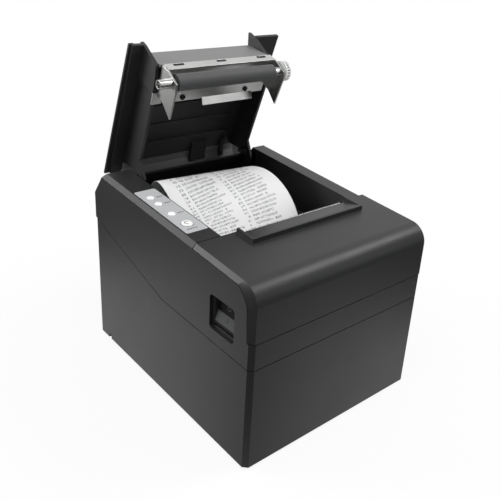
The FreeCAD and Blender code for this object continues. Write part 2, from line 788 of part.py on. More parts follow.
def make_paper_chute():
    """Slanted guide between the nose walls, its head reaching through the cover."""
    low = -ledge_drop
    end = low - lid_wall_depth + flange_rise
    end_y = chute_foot_y + flange_rise * chute_lean
    chute = side_plate([(chute_top_y, chute_head_height), (end_y, end), (end_y + chute_wall, end),
                        (chute_top_y + chute_wall + (low - chute_head_height) * chute_lean, low),
                        (chute_top_y + chute_head + (low - chute_head_height) * chute_lean, low),
                        (chute_top_y + chute_head, chute_head_height)],
                       lid_wall_left + lid_wall + seat_clearance, lid_wall_right - lid_wall - seat_clearance)
    return swung_open(chute)


def make_lid_frame():
    low = -ledge_drop
    deep = low - lid_wall_depth
    start = nose_rear + seat_clearance
    outline = [(start, low), (start, deep), (81.2, deep), (89.2, deep - 3.4), (lid_rear - 3.4, low)]
    arm = [(79.0, deep + 1.0), (89.2, hinge_deck[1] + 3.5), (hinge_deck[0], hinge_deck[1] + 3.5),
           (hinge_deck[0], hinge_deck[1] - 3.5), (90.0, hinge_deck[1] - 3.5)]
    pieces = []
    cuts = []
    for x in frame_walls:
        pieces.append(side_plate(outline, x, x + lid_wall))
        pieces.append(side_plate(arm, x, x + lid_wall))
        pieces.append(rod_x(x, x + lid_wall, hinge_deck[0], hinge_deck[1], hinge_eye_radius))
        cuts.append(rod_x(x - 1, x + lid_wall + 1, hinge_deck[0], hinge_deck[1],
                          hinge_pin_radius + running_clearance))
    # Floor web carrying the bracket bosses
    pieces.append(block(lid_wall_left, lid_arm_right, start, frame_web_rear, low - 1.6, low))
    for x, y in tab_screws:
        pieces.append(rod_z(x, y, deep, low - 0.5, 3.0))
        cuts.append(rod_z(x, y, deep - 1, deep + 8.0, screw_radius + seat_clearance))
    return swung_open(without(joined(pieces), cuts))


def make_platen_bracket():
    """A bent sheet: a base with a tab, slots along its front bend, a rear lip and two side plates."""
    deep = -ledge_drop - lid_wall_depth
    low = deep - bracket_sheet
    base = plan_plate([(side_plate_left, bracket_front), (bracket_right, bracket_front),
                       (bracket_right, bracket_rear), (side_plate_left - tab_reach, bracket_rear),
                       (side_plate_left - tab_reach, tab_front), (side_plate_left, tab_front)], low, deep)
    front_flange = block(side_plate_left + 1.7, bracket_right, bracket_front, bracket_front + bracket_sheet,
                         deep - 5.6, deep + flange_rise)
    lip = side_plate([(bracket_rear - 1.0, low), (bracket_rear - 1.0, deep), (bracket_rear, deep),
                      (bracket_rear + bracket_lip, deep - 3.1), (bracket_rear + bracket_lip, low - 3.1)],
                     -4.0, 40.2)
    outline = [(bracket_front, deep), (bracket_front, deep - 8.0), (7.0, deep - 18.5), (13.5, deep - 19.6),
               (32.7, deep - 19.0), (27.0, deep - 9.0), (25.5, deep)]
    plates = [side_plate(outline, x, x + bracket_sheet) for x in (side_plate_left, side_plate_right)]
    bracket = joined([base, front_flange, lip] + plates)
    cuts = [rod_x(x - 1, x + bracket_sheet + 1, platen_y, platen_z, bush_radius + seat_clearance)
            for x in (side_plate_left, side_plate_right)]
    for x in bracket_slots:
        cuts.append(block(x - bracket_slot_width / 2, x + bracket_slot_width / 2, bracket_front - 1,
                          bracket_front + bracket_sheet + 0.8, deep - 1.8, deep + flange_rise / 2))
    for x, y in tab_screws:
        cuts.append(rod_z(x, y, low - 1, deep + 1, screw_radius + slide_clearance))
    # The strip between the tab and the left screw stays short of the rear edge
    cuts.append(block(tab_inner, tab_screws[0][0] - 6.0, bracket_rear - 2.5, bracket_rear + 1,
                      low - 1, deep + 1))
    return swung_open(without(bracket, cuts))


def make_bracket_screws():
    deep = -ledge_drop - lid_wall_depth
    screws = []
    for x, y in tab_screws:
        shank = rod_z(x, y, deep - bracket_sheet, deep + 7.0, screw_radius)
        head = rod_z(x, y, deep - bracket_sheet - screw_head, deep - bracket_sheet, screw_head_radius)
        cross = block(x - 1.3, x + 1.3, y - 0.3, y + 0.3, deep - bracket_sheet - screw_head - 1,
                      deep - bracket_sheet - screw_head + 0.4)
        screws.append(swung_open(joined([head, shank]).cut(cross)))
    return Part.Compound(screws)


def make_platen_bushes():
    bore = shaft_radius + running_clearance
    left = rod_x(bush_left, platen_left - 0.6, platen_y, platen_z, bush_radius)
    right = rod_x(platen_right + 0.6, gear_left - 0.3, platen_y, platen_z, bush_radius)
    hole = rod_x(bush_left - 1, gear_left + 1, platen_y, platen_z, bore)
    return Part.Compound([swung_open(left.cut(hole)), swung_open(right.cut(hole))])


def make_platen_shaft():
    shaft = rod_x(shaft_left, gear_left + gear_width + 0.3, platen_y, platen_z, shaft_radius)
    shaft = chamfered(shaft, 0.4, lambda e: len(e.Vertexes) == 1)
    return swung_open(shaft)


def make_platen_rubber():
    sleeve = rod_x(platen_left, platen_right, platen_y, platen_z, platen_radius)
    sleeve = sleeve.cut(rod_x(platen_left - 1, platen_right + 1, platen_y, platen_z,
                              shaft_radius + seat_clearance))
    return swung_open(sleeve)


def make_platen_gear():
    bore = shaft_radius + seat_clearance
    gear = gear_x(platen_teeth, gear_left + gear_shroud / 2, gear_left + gear_width,
                  platen_y, platen_z, bore, 0.0)
    shrouds = []
    for x in (gear_left, gear_left + gear_width - gear_shroud):
        disc = rod_x(x, x + gear_shroud, platen_y, platen_z, platen_tip)
        shrouds.append(disc.cut(rod_x(x - 1, x + gear_shroud + 1, platen_y, platen_z, bore)))
    return swung_open(joined([gear] + shrouds))


# Paper roll, its core and the loose outer turn that arches over it
def make_paper_roll():
    roll = rod_x(roll_left, roll_left + roll_width, roll_y, roll_z, roll_radius)
    return roll.cut(rod_x(roll_left - 1, roll_left + roll_width + 1, roll_y, roll_z, core_radius))


def make_roll_core():
    core = rod_x(roll_left, roll_left + roll_width, roll_y, roll_z, core_radius - seat_clearance)
    return core.cut(rod_x(roll_left - 1, roll_left + roll_width + 1, roll_y, roll_z, core_radius - core_wall))


def paper_edge(x, points):
    """Closed outline of one edge of the loose turn: a smooth curve through (y, z) points and its inside."""
    inside = []
    for k, (y, z) in enumerate(points):
        before = points[max(k - 1, 0)]
        after = points[min(k + 1, len(points) - 1)]
        along = Vector(0, after[0] - before[0], after[1] - before[1]).normalize()
        inside.append((y - along.z * paper_thickness, z + along.y * paper_thickness))
    curves = []
    for line in (points, inside):
        curve = Part.BSplineCurve()
        curve.interpolate([Vector(x, y, z) for y, z in line])
        curves.append(curve.toShape())
    ends = [Part.makeLine(Vector(x, *points[k]), Vector(x, *inside[k])) for k in (0, -1)]
    return Part.Wire(Part.__sortEdges__([curves[0], ends[1], curves[1], ends[0]]))


def make_paper_web():
    """The loose outer turn. It leaves the roll behind, and its right end arches higher than its left."""
    start = (roll_y + roll_radius + paper_thickness + seat_clearance, roll_z + 4.0)
    end = (arch_y - arch_radius + 0.1, arch_z + 3.2)
    high = [(75.4, 101.0)]
    for degrees in (54.5, 72.0, 90.0, 110.0, 132.0, 154.0):
        angle = math.radians(degrees)
        high.append((arch_y + arch_radius * math.cos(angle), arch_z + arch_radius * math.sin(angle)))
    flat = [(77.0, 102.0), (72.2, 117.8), (64.6, 124.6), (55.6, 123.0), (45.6, 116.9), (28.0, 104.9),
            (11.0, 92.8)]
    left = paper_edge(roll_left, [start] + flat + [end])
    right = paper_edge(roll_left + roll_width, [start] + high + [end])
    return Part.makeLoft([left, right], True, True)


def make_paper_well():
    left = roll_left - cheek_gap
    right = roll_left + roll_width + cheek_gap
    outer = rod_x(left - cheek_wall, right + cheek_wall, roll_y, well_z, well_radius + well_wall)
    inner = rod_x(left, right, roll_y, well_z, well_radius)
    rear_limit = rear - wall - panel_gap
    low_half = block(left - 10, right + 10, roll_y - 60, roll_y + 60, 0.0, well_lip)
    trough = outer.cut(inner).common(low_half)
    rear_wall = block(left - cheek_wall, right + cheek_wall, roll_y + well_radius, rear_limit,
                      well_lip - 3.0, skirt_bottom)
    flange_z = skirt_bottom - well_flange
    cheeks = []
    flanges = []
    for x, edge in ((left - cheek_wall, deck_right_edge - skirt_wall),
                    (right, rail_inner + skirt_wall - 0.5)):
        cheeks.append(side_plate([(roll_y - 36.0, well_lip - 2.0), (rear_limit, well_lip - 2.0),
                                  (rear_limit, flange_z + 1), (roll_y - 34.0, flange_z + 1)],
                                 x, x + cheek_wall))
        flanges.append(block(min(x, edge), max(x + cheek_wall, edge), roll_y - 34.0, rear_limit - 3.0,
                             flange_z, skirt_bottom))
    return joined([trough, rear_wall] + cheeks + flanges)


# Print mechanism in the case under the front cover
platen_closed = from_deck(platen_y, platen_z)
platen_tip = gear_module * platen_teeth / 2 + 0.9 * gear_module
drive_tip = gear_module * drive_teeth / 2 + 0.9 * gear_module
drive_reach = platen_tip + drive_tip + open_mesh_gap
drive_y = platen_closed[0] + drive_reach * math.cos(math.radians(drive_turn))
drive_z = platen_closed[1] + drive_reach * math.sin(math.radians(drive_turn))
pinion_reach = gear_module * (drive_teeth + pinion_teeth) / 2 + mesh_slack
motor_y = drive_y + pinion_reach * math.cos(math.radians(motor_turn))
motor_z = drive_z + pinion_reach * math.sin(math.radians(motor_turn))
gear_post_radius = 2.0
drive_left = gear_left + gear_shroud + slide_clearance
motor_shaft_radius = 1.5


def make_mechanism_frame():
    floor = block(frame_left, frame_right, frame_front, frame_rear, frame_floor, frame_floor + frame_sheet)
    outer_edge = [(frame_front + 12.0, frame_top), (frame_front, frame_top - 14.0),
                  (frame_front, frame_floor), (frame_rear, frame_floor)]
    full_top = [(frame_rear, frame_top - 6.0), (frame_rear - 4.0, frame_top)]
    # The right side steps down where the closed platen bracket passes over it
    low_top = [(frame_rear, frame_low_top), (frame_step_y, frame_low_top), (frame_step_y - 2.0, frame_top)]
    sides = [side_plate(outer_edge + full_top, frame_left, frame_left + frame_sheet),
             side_plate(outer_edge + low_top, frame_right - frame_sheet, frame_right)]
    post = rod_x(frame_right - frame_sheet, gear_left + gear_width + 0.8, drive_y, drive_z, gear_post_radius)
    frame = joined([floor] + sides + [post])
    cuts = []
    for x in (frame_left, frame_right - frame_sheet):
        cuts.append(rod_x(x - 0.5, x + frame_sheet + 0.5, platen_closed[0], platen_closed[1], slot_width / 2))
        cuts.append(block(x - 0.5, x + frame_sheet + 0.5, platen_closed[0] - slot_width / 2,
                          platen_closed[0] + slot_width / 2, platen_closed[1], frame_top + 1))
    cuts.append(rod_x(frame_right - frame_sheet - 0.5, frame_right + 0.5, motor_y, motor_z, 4.0))
    for x, y in frame_post_places:
        cuts.append(rod_z(x, y, frame_floor - 1, frame_floor + frame_sheet + 1, 1.6))
    cuts.append(block(-30.0, 36.0, frame_front + 14.0, frame_rear - 14.0, frame_floor - 1,
                      frame_floor + frame_sheet + 1))
    return without(frame, cuts)


def make_print_head():
    face = platen_closed[0] - platen_radius - slide_clearance
    return block(head_left, head_right, face - head_thickness, face, head_bottom, head_top)


def make_head_heatsink():
    face = platen_closed[0] - platen_radius - slide_clearance - head_thickness
    plate = block(head_left - 2, head_right + 2, face - 2.5, face, head_bottom - 3.0, head_top - 0.5)
    span = head_right - head_left - 8.0
    fins = []
    for fin in range(heatsink_fins):
        x = head_left + 3.0 + fin * span / (heatsink_fins - 1)
        fins.append(block(x, x + 2.0, face - heatsink_depth, face - 2.0, head_bottom - 3.0, head_top - 0.5))
    legs = [block(x - 5, x + 5, face - 2.5, face, frame_floor + frame_sheet, head_bottom - 2.0)
            for x in (-34.0, 38.0)]
    return joined([plate] + fins + legs)


def make_head_spring():
    """A bent leaf between the frame floor and the back of the heat sink."""
    back = platen_closed[0] - platen_radius - slide_clearance - head_thickness - heatsink_depth
    floor = frame_floor + frame_sheet
    start = frame_front + 13.5
    outline = [(start - 8.0, floor), (start + 6.0, floor), (start + 6.0, floor + 0.8),
               (start - 7.2, floor + 0.8)]
    foot = side_plate(outline, -16.0, -4.0)
    blade = side_plate([(start + 5.2, floor), (start + 6.0, floor), (back, head_bottom + 8.0),
                        (back, head_bottom + 10.0), (back - 0.8, head_bottom + 10.0)], -16.0, -4.0)
    return joined([foot, blade])


def make_stepper_motor():
    inner = frame_right - frame_sheet
    can = rod_x(inner - motor_length, inner, motor_y, motor_z, motor_radius)
    can = chamfered(can, 0.8, lambda e: len(e.Vertexes) == 1 and abs(e.CenterOfMass.x - inner) > 1)
    boss = rod_x(inner - 0.5, frame_right + 0.2, motor_y, motor_z, 3.8)
    return joined([can, boss]).cut(rod_x(inner - 12.0, frame_right + 1, motor_y, motor_z,
                                         motor_shaft_radius + running_clearance))


def make_motor_pinion():
    """The motor's rotor shaft and the pinion cut on its end."""
    gear = side_plate(gear_outline(pinion_teeth), drive_left, gear_left + gear_width)
    gear.rotate(Vector(0, 0, 0), X_AXIS, motor_turn + 180.0 + 180.0 / pinion_teeth)
    gear.translate(Vector(0, motor_y, motor_z))
    shaft = rod_x(frame_right - frame_sheet - 11.0, drive_left + 0.5, motor_y, motor_z, motor_shaft_radius)
    return joined([gear, shaft])


def make_drive_gear():
    return gear_x(drive_teeth, drive_left, gear_left + gear_width, drive_y, drive_z,
                  gear_post_radius + running_clearance, motor_turn)


def make_cutter_frame():
    low = cutter_deck
    high = low + cutter_sheet
    plate = block(frame_left + frame_sheet, frame_right - frame_sheet, blade_rear, blade_tip - 1.0, low, high)
    guides = [block(x0, x1, blade_rear, blade_tip - 1.0, high, high + blade_thickness + 0.3)
              for x0, x1 in ((frame_left + frame_sheet, blade_left - slide_clearance),
                             (blade_right + slide_clearance, frame_right - frame_sheet))]
    cuts = [rod_z(pinion_x, pinion_y, low - 1, high + 1, 3.2)]
    return without(joined([plate] + guides), cuts)


cutter_pinion_radius = gear_module * cutter_pinion_teeth / 2
blade_floor = cutter_deck + cutter_sheet + 0.05
rack_line = pinion_x + cutter_pinion_radius + mesh_slack


def make_cutter_blade():
    """A thin blade with a shallow V edge and a rack along one side of its drive slot."""
    middle = (blade_left + blade_right) / 2
    blade = plan_plate([(blade_left, blade_rear), (blade_right, blade_rear), (blade_right, blade_tip),
                        (middle, blade_tip - blade_rise), (blade_left, blade_tip)],
                       blade_floor, blade_floor + blade_thickness)
    reach = cutter_pinion_radius + gear_module + 0.8
    slot = block(pinion_x - reach, rack_line + 1.2 * gear_module, pinion_y - cutter_stroke - reach,
                 pinion_y + reach, blade_floor - 1, blade_floor + blade_thickness + 1)
    pitch = math.pi * gear_module
    half = pitch / 4 - tooth_backlash / 2
    lean = math.tan(math.radians(pressure_angle))
    root = rack_line + 1.2 * gear_module
    tip = rack_line - 0.9 * gear_module
    teeth = []
    for tooth in range(-8, 3):
        y = pinion_y + (tooth + 0.5) * pitch
        wide = half + 1.2 * gear_module * lean
        thin = half - 0.9 * gear_module * lean
        teeth.append(plan_plate([(root + 0.2, y - wide), (root + 0.2, y + wide), (tip, y + thin),
                                 (tip, y - thin)], blade_floor, blade_floor + blade_thickness))
    return joined([blade.cut(slot)] + teeth)


def make_cutter_pinion():
    outline = gear_outline(cutter_pinion_teeth)
    gear = plan_plate(outline, blade_floor + 0.05, blade_floor + blade_thickness + 1.4)
    gear.translate(Vector(pinion_x, pinion_y, 0))
    shaft = rod_z(pinion_x, pinion_y, cutter_deck - 9.0, blade_floor + 0.5, motor_shaft_radius)
    return joined([gear, shaft])


def make_cutter_motor():
    can = rod_z(pinion_x, pinion_y, cutter_deck - cutter_motor_length, cutter_deck, cutter_motor_radius)
    can = chamfered(can, 0.8, lambda e: len(e.Vertexes) == 1 and e.CenterOfMass.z < cutter_deck - 1)
    return can.cut(rod_z(pinion_x, pinion_y, cutter_deck - 10.0, cutter_deck + 1,
                         motor_shaft_radius + running_clearance))


# Boards, sockets, screws and feet
board_top = socket_floor


def make_main_board():
    board = block(-board_half, board_half, board_front, rear - wall - 0.5, board_top - board_sheet, board_top)
    holes = [rod_z(x, y, board_top - board_sheet - 1, board_top + 1, 1.5) for x, y in standoff_places]
    return without(board, holes)


def make_board_components():
    chips = [block(x - w / 2, x + w / 2, y - d / 2, y + d / 2, board_top, board_top + h)
             for x, y, w, d, h in ((-8.0, 28.0, 14.0, 14.0, 1.4), (16.0, 24.0, 10.0, 6.0, 1.6),
                                   (30.0, 40.0, 12.0, 18.0, 1.2), (-30.0, 12.0, 30.0, 5.0, 6.0))]
    cans = [rod_z(x, y, board_top, board_top + 14.0, 4.0) for x, y in ((-40.0, 40.0), (-40.0, 52.0))]
    return Part.Compound(chips + cans)


def socket_body(opening, depth, proud):
    x, width, height = opening
    half = width / 2 - slide_clearance
    return block(x - half, x + half, rear - depth, rear + proud,
                 board_top, board_top + height - slide_clearance)


def make_power_inlet():
    body = socket_body(power_socket, 14.0, 0.5)
    x, width, height = power_socket
    z = board_top + (height - slide_clearance) / 2
    ring = rod_y(x, rear - 8.0, rear + 1, z, 5.0).cut(rod_y(x, rear - 9.0, rear + 2, z, 1.2))
    return body.cut(ring)


def make_data_socket():
    body = socket_body(data_socket, 16.0, 0.3)
    x, width, height = data_socket
    mouth = block(x - 4.2, x + 4.2, rear - 8.0, rear + 1, board_top + 1.6, board_top + 9.4)
    mouth = chamfered(mouth, 1.6, lambda e: runs_along(e, Y_AXIS) and e.CenterOfMass.z > board_top + 9.0)
    tongue = block(x - 2.8, x + 2.8, rear - 8.5, rear - 1.0, board_top + 4.0, board_top + 7.0)
    return joined([body.cut(mouth), tongue])


def make_drawer_socket():
    body = socket_body(drawer_socket, 16.0, 0.3)
    x, width, height = drawer_socket
    mouth = block(x - 5.0, x + 5.0, rear - 11.0, rear + 1, board_top + 3.4, board_top + 10.4)
    latch = block(x - 2.0, x + 2.0, rear - 11.0, rear + 1, board_top + 1.6, board_top + 3.6)
    return without(body, [mouth, latch])


def make_serial_socket():
    body = socket_body(serial_socket, 12.0, 0.4)
    x, width, height = serial_socket
    z = board_top + (height - slide_clearance) / 2
    shell = front_plate([(x - 7.8, z - 4.0), (x + 7.8, z - 4.0), (x + 9.0, z + 4.0), (x - 9.0, z + 4.0)],
                        rear - 0.5, rear + 5.0)
    core = front_plate([(x - 7.2, z - 3.4), (x + 7.2, z - 3.4), (x + 8.3, z + 3.4), (x - 8.3, z + 3.4)],
                       rear - 4.0, rear + 6.0)
    pins = [rod_y(x + (k - 2) * 2.76 + shift, rear - 4.5, rear + 3.5, z + dz, 0.5)
            for dz, shift, count in ((1.4, 0.0, 5), (-1.4, 1.38, 4)) for k in range(count)]
    return joined([joined([body, shell]).cut(core)] + pins)


def make_hinge_pins():
    pins = []
    for start, wall_x in zip(hinge_boss_starts, frame_walls):
        low = min(start + 0.5, wall_x - 0.2)
        high = max(start + hinge_boss_width - 0.5, wall_x + lid_wall + 0.2)
        pins.append(rod_x(low, high, hinge_y, hinge_z, hinge_pin_radius))
    return Part.Compound(pins)


def make_case_screws():
    screws = []
    for x, y in boss_places:
        seat = (front_post_top if y < 0 else rear_post_top) - 3.0
        head = rod_z(x, y, seat - 2.0, seat, case_screw_head)
        slot = block(x - 2.2, x + 2.2, y - 0.4, y + 0.4, seat - 3.0, seat - 1.2)
        shank = rod_z(x, y, seat - 0.5, seat + 12.0, case_screw_radius)
        screws.append(joined([head.cut(slot), shank]))
    return Part.Compound(screws)


def make_rubber_feet():
    feet = []
    for x, y in foot_places:
        foot = rod_z(x, y, 0.0, foot_height + foot_recess, foot_radius - 0.05)
        feet.append(foot.makeChamfer(0.6, [edge for edge in foot.Edges if abs(edge.CenterOfMass.z) < 0.01]))
    return Part.Compound(feet)


os.makedirs("parts", exist_ok=True)
makers = {
    "lower_case": make_lower_case,
    "upper_case": make_upper_case,
    "front_cover": make_front_cover,
    "tear_bar": make_tear_bar,
    "led_panel": make_led_panel,
    "led_lenses": make_led_lenses,
    "feed_button": make_feed_button,
    "panel_board": make_panel_board,
    "feed_switch": make_feed_switch,
    "switch_housing": make_switch_housing,
    "power_rocker": make_power_rocker,
    "lid_cover": make_lid_cover,
    "hinge_cover": make_hinge_cover,
    "lid_liner": make_lid_liner,
    "lid_frame": make_lid_frame,
    "lid_nose": make_lid_nose,
    "paper_chute": make_paper_chute,
    "platen_bracket": make_platen_bracket,
    "bracket_screws": make_bracket_screws,
    "platen_bushes": make_platen_bushes,
    "platen_shaft": make_platen_shaft,
    "platen_rubber": make_platen_rubber,
    "platen_gear": make_platen_gear,
    "paper_roll": make_paper_roll,
    "roll_core": make_roll_core,
    "paper_web": make_paper_web,
    "paper_well": make_paper_well,
    "mechanism_frame": make_mechanism_frame,
    "print_head": make_print_head,
    "head_heatsink": make_head_heatsink,
    "head_spring": make_head_spring,
    "stepper_motor": make_stepper_motor,
    "motor_pinion": make_motor_pinion,
    "drive_gear": make_drive_gear,
    "cutter_frame": make_cutter_frame,
    "cutter_blade": make_cutter_blade,
    "cutter_pinion": make_cutter_pinion,
    "cutter_motor": make_cutter_motor,
    "main_board": make_main_board,
    "board_components": make_board_components,
    "power_inlet": make_power_inlet,
    "data_socket": make_data_socket,
    "drawer_socket": make_drawer_socket,
    "serial_socket": make_serial_socket,
    "hinge_pins": make_hinge_pins,
    "case_screws": make_case_screws,
    "rubber_feet": make_rubber_feet,
}
for name, maker in makers.items():
    write_step(name, maker())
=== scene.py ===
# %% [markdown]
# # A receipt printer with its lid open
#
# This lesson dresses a receipt printer in Blender. The solid pieces come ready made as a fixed frame,
# each in its real place in metres, so nothing here is moved into position by eye. What is left to do is
# what Blender is good at: finishes, small details, light and a camera.

# %% Load the frame
import json
import math

import bmesh
import bpy
from mathutils import Matrix, Vector


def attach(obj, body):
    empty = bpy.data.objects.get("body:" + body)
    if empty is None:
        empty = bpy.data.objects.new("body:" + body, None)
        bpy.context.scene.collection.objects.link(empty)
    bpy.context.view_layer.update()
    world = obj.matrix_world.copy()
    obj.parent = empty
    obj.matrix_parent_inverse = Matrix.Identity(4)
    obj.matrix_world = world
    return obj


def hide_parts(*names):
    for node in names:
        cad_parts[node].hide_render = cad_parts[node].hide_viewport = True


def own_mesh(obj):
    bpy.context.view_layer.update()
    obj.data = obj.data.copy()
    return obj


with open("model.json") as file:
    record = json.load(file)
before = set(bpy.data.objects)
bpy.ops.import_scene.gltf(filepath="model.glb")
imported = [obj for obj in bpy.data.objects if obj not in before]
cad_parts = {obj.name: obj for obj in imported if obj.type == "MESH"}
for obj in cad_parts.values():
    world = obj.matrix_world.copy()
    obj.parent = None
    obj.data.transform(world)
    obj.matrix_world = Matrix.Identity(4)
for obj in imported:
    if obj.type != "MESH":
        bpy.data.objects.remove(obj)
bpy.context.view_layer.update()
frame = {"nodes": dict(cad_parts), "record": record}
nodes = frame["nodes"]
scene = bpy.context.scene
print("pieces in the frame:", len(nodes))

# %% [markdown]
# ## Camera
#
# The photograph was taken from the printer's front left, a little above it and quite near, so upright
# edges lean together. A camera could be placed by hand until the outline fits. Here it is rebuilt from
# the direction it looked along, its distance, its slight roll and its focal length, because numbers can
# be fitted and kept. The lens shift puts the optical centre where the photograph has it.

# %% Camera at the photograph's viewing angle
VIEW_AZIMUTH = math.radians(-40.54)
VIEW_ELEVATION = math.radians(22.853)
VIEW_ROLL = math.radians(3.144)
VIEW_DISTANCE = 0.433235
VIEW_TARGET = Vector((-0.000316, -0.009229, 0.119122))
SENSOR_WIDTH_MM = 36.0
FOCAL_LENGTH_MM = 46.386
LENS_SHIFT = (-0.0081, -0.0853)
NEAR_LIMIT = 0.01


def camera_axes():
    """Right, up and backward directions of the camera."""
    back = Vector((math.sin(VIEW_AZIMUTH) * math.cos(VIEW_ELEVATION),
                   -math.cos(VIEW_AZIMUTH) * math.cos(VIEW_ELEVATION),
                   math.sin(VIEW_ELEVATION)))
    level = Vector((math.cos(VIEW_AZIMUTH), math.sin(VIEW_AZIMUTH), 0.0))
    upright = back.cross(level)
    right = math.cos(VIEW_ROLL) * level + math.sin(VIEW_ROLL) * upright
    up = -math.sin(VIEW_ROLL) * level + math.cos(VIEW_ROLL) * upright
    return right, up, back


right, up, back = camera_axes()
eye = VIEW_TARGET + VIEW_DISTANCE * back
lens = bpy.data.cameras.new("photo_camera")
lens.sensor_width = SENSOR_WIDTH_MM
lens.lens = FOCAL_LENGTH_MM
lens.shift_x, lens.shift_y = LENS_SHIFT
lens.clip_start = NEAR_LIMIT
camera = bpy.data.objects.new("photo_camera", lens)
camera.matrix_world = Matrix(((right.x, up.x, back.x, eye.x),
                              (right.y, up.y, back.y, eye.y),
                              (right.z, up.z, back.z, eye.z),
                              (0.0, 0.0, 0.0, 1.0)))
scene.collection.objects.link(camera)
scene.camera = camera
print("camera at", [round(value, 3) for value in eye])

# %% [markdown]
# ## Shared surface effects
#
# Real mouldings are never one flat colour. Four effects come back in the finishes, so each is a node
# group that is built once: moulded grain, rubbed edges, settled dust and the fine lines on metal. They
# could be painted as images, but nodes stay sharp at any distance and need no unwrapping. A group gives
# out only masks, heights and normals. The shader itself stays in each material.


# %% Helpers for node trees
def link_chain(tree, pairs):
    """Link sockets given as (from, to) pairs."""
    for source, target in pairs:
        tree.links.new(source, target)


def feed(tree, socket, value):
    """Give a socket a plain number, or link another socket to it."""
    if isinstance(value, (int, float)):
        socket.default_value = value
    else:
        tree.links.new(value, socket)


def new_group(name, inputs, outputs):
    """A node group with float inputs given as name and default, and outputs as name and type."""
    tree = bpy.data.node_groups.new(name, "ShaderNodeTree")
    for label, default in inputs:
        socket = tree.interface.new_socket(label, in_out="INPUT", socket_type="NodeSocketFloat")
        socket.default_value = default
    for label, kind in outputs:
        tree.interface.new_socket(label, in_out="OUTPUT", socket_type="NodeSocket" + kind)
    return tree, tree.nodes.new("NodeGroupInput"), tree.nodes.new("NodeGroupOutput")


def math_node(tree, operation, first, second=None):
    """A Math node whose inputs are sockets or plain numbers."""
    node = tree.nodes.new("ShaderNodeMath")
    node.operation = operation
    for socket, value in zip(node.inputs, (first, second)):
        if value is not None:
            feed(tree, socket, value)
    return node.outputs[0]


def vector_value(tree, operation, *vectors):
    """The plain number that a Vector Math node makes from one or two vectors."""
    node = tree.nodes.new("ShaderNodeVectorMath")
    node.operation = operation
    for socket, vector in zip(node.inputs, vectors):
        tree.links.new(vector, socket)
    return node.outputs["Value"]


def ramp(tree, value, start, end, low=0.0, high=1.0, curve="LINEAR"):
    """A value that goes from low to high while another goes from start to end."""
    node = tree.nodes.new("ShaderNodeMapRange")
    node.interpolation_type = curve
    for label, number in (("From Min", start), ("From Max", end), ("To Min", low), ("To Max", high)):
        node.inputs[label].default_value = number
    tree.links.new(value, node.inputs["Value"])
    return node.outputs["Result"]


def soft_step(tree, value, start, end):
    """A smooth mask that is 0 at start and 1 at end."""
    return ramp(tree, value, start, end, curve="SMOOTHSTEP")


print("node helpers ready")


# %% Helpers for places and noise
def object_place(tree):
    """The place on the surface, in metres."""
    return tree.nodes.new("ShaderNodeTexCoord").outputs["Object"]


def split_vector(tree, vector):
    """The X, Y and Z of a vector."""
    split = tree.nodes.new("ShaderNodeSeparateXYZ")
    tree.links.new(vector, split.inputs[0])
    return split.outputs["X"], split.outputs["Y"], split.outputs["Z"]


def noise_node(tree, place, scale, detail):
    """A noise texture. Its scale, per metre, is a socket or a plain number."""
    noise = tree.nodes.new("ShaderNodeTexNoise")
    noise.inputs["Detail"].default_value = detail
    feed(tree, noise.inputs["Scale"], scale)
    tree.links.new(place, noise.inputs["Vector"])
    return noise


print("place and noise helpers ready")

# %% [markdown]
# ### Moulded grain
#
# The mould of a plastic case is etched, and the fine grain keeps the case from looking wet. A mesh that
# fine would be far too heavy, so noise gives a height for bump. A slower noise gives the faint clouds
# that every moulding has in its gloss.

# %% Moulded grain
GRAIN_SIZE = 0.0004
GRAIN_DETAIL = 3.0
GRAIN_ROUGHNESS = 0.6
CLOUD_SCALE = 34.0
CLOUD_DETAIL = 4.0


def build_moulded_grain():
    """Fine grain as a height, and slow clouds as a mask."""
    tree, source, result = new_group("moulded_grain", [("Grain Size", GRAIN_SIZE)],
                                     [("Height", "Float"), ("Mottle", "Float")])
    place = object_place(tree)
    per_metre = math_node(tree, "DIVIDE", 1.0, source.outputs["Grain Size"])
    grain = noise_node(tree, place, per_metre, GRAIN_DETAIL)
    grain.inputs["Roughness"].default_value = GRAIN_ROUGHNESS
    cloud = noise_node(tree, place, CLOUD_SCALE, CLOUD_DETAIL)
    link_chain(tree, [(grain.outputs["Fac"], result.inputs["Height"]),
                      (cloud.outputs["Fac"], result.inputs["Mottle"])])
    return tree


effects = {"grain": build_moulded_grain()}
print("grain size in mm:", GRAIN_SIZE * 1000)

# %% [markdown]
# ### Rubbed edges
#
# No edge of a real object is a perfect corner, and hands polish it first. Bevels could be cut into every
# piece, but a Bevel node rounds only the shading and costs no faces. Where its normal turns away from
# the true one there is an edge, and noise breaks that line up into patches of wear.

# %% Rubbed edges
EDGE_RADIUS = 0.0004
EDGE_SAMPLES = 6
EDGE_TURN = (0.03, 0.25)
WEAR_SCALE = 240.0
WEAR_DETAIL = 3.0


def build_rubbed_edges():
    """A rounded normal, and a patchy mask along the edges."""
    tree, source, result = new_group("rubbed_edges", [("Radius", EDGE_RADIUS)],
                                     [("Normal", "Vector"), ("Wear", "Float")])
    bevel = tree.nodes.new("ShaderNodeBevel")
    bevel.samples = EDGE_SAMPLES
    flat = tree.nodes.new("ShaderNodeNewGeometry").outputs["Normal"]
    breakup = noise_node(tree, object_place(tree), WEAR_SCALE, WEAR_DETAIL)
    facing = vector_value(tree, "DOT_PRODUCT", bevel.outputs["Normal"], flat)
    turned = ramp(tree, math_node(tree, "SUBTRACT", 1.0, facing), *EDGE_TURN)
    patchy = math_node(tree, "MULTIPLY", turned, breakup.outputs["Fac"])
    link_chain(tree, [(source.outputs["Radius"], bevel.inputs["Radius"]),
                      (bevel.outputs["Normal"], result.inputs["Normal"]),
                      (patchy, result.inputs["Wear"])])
    return tree


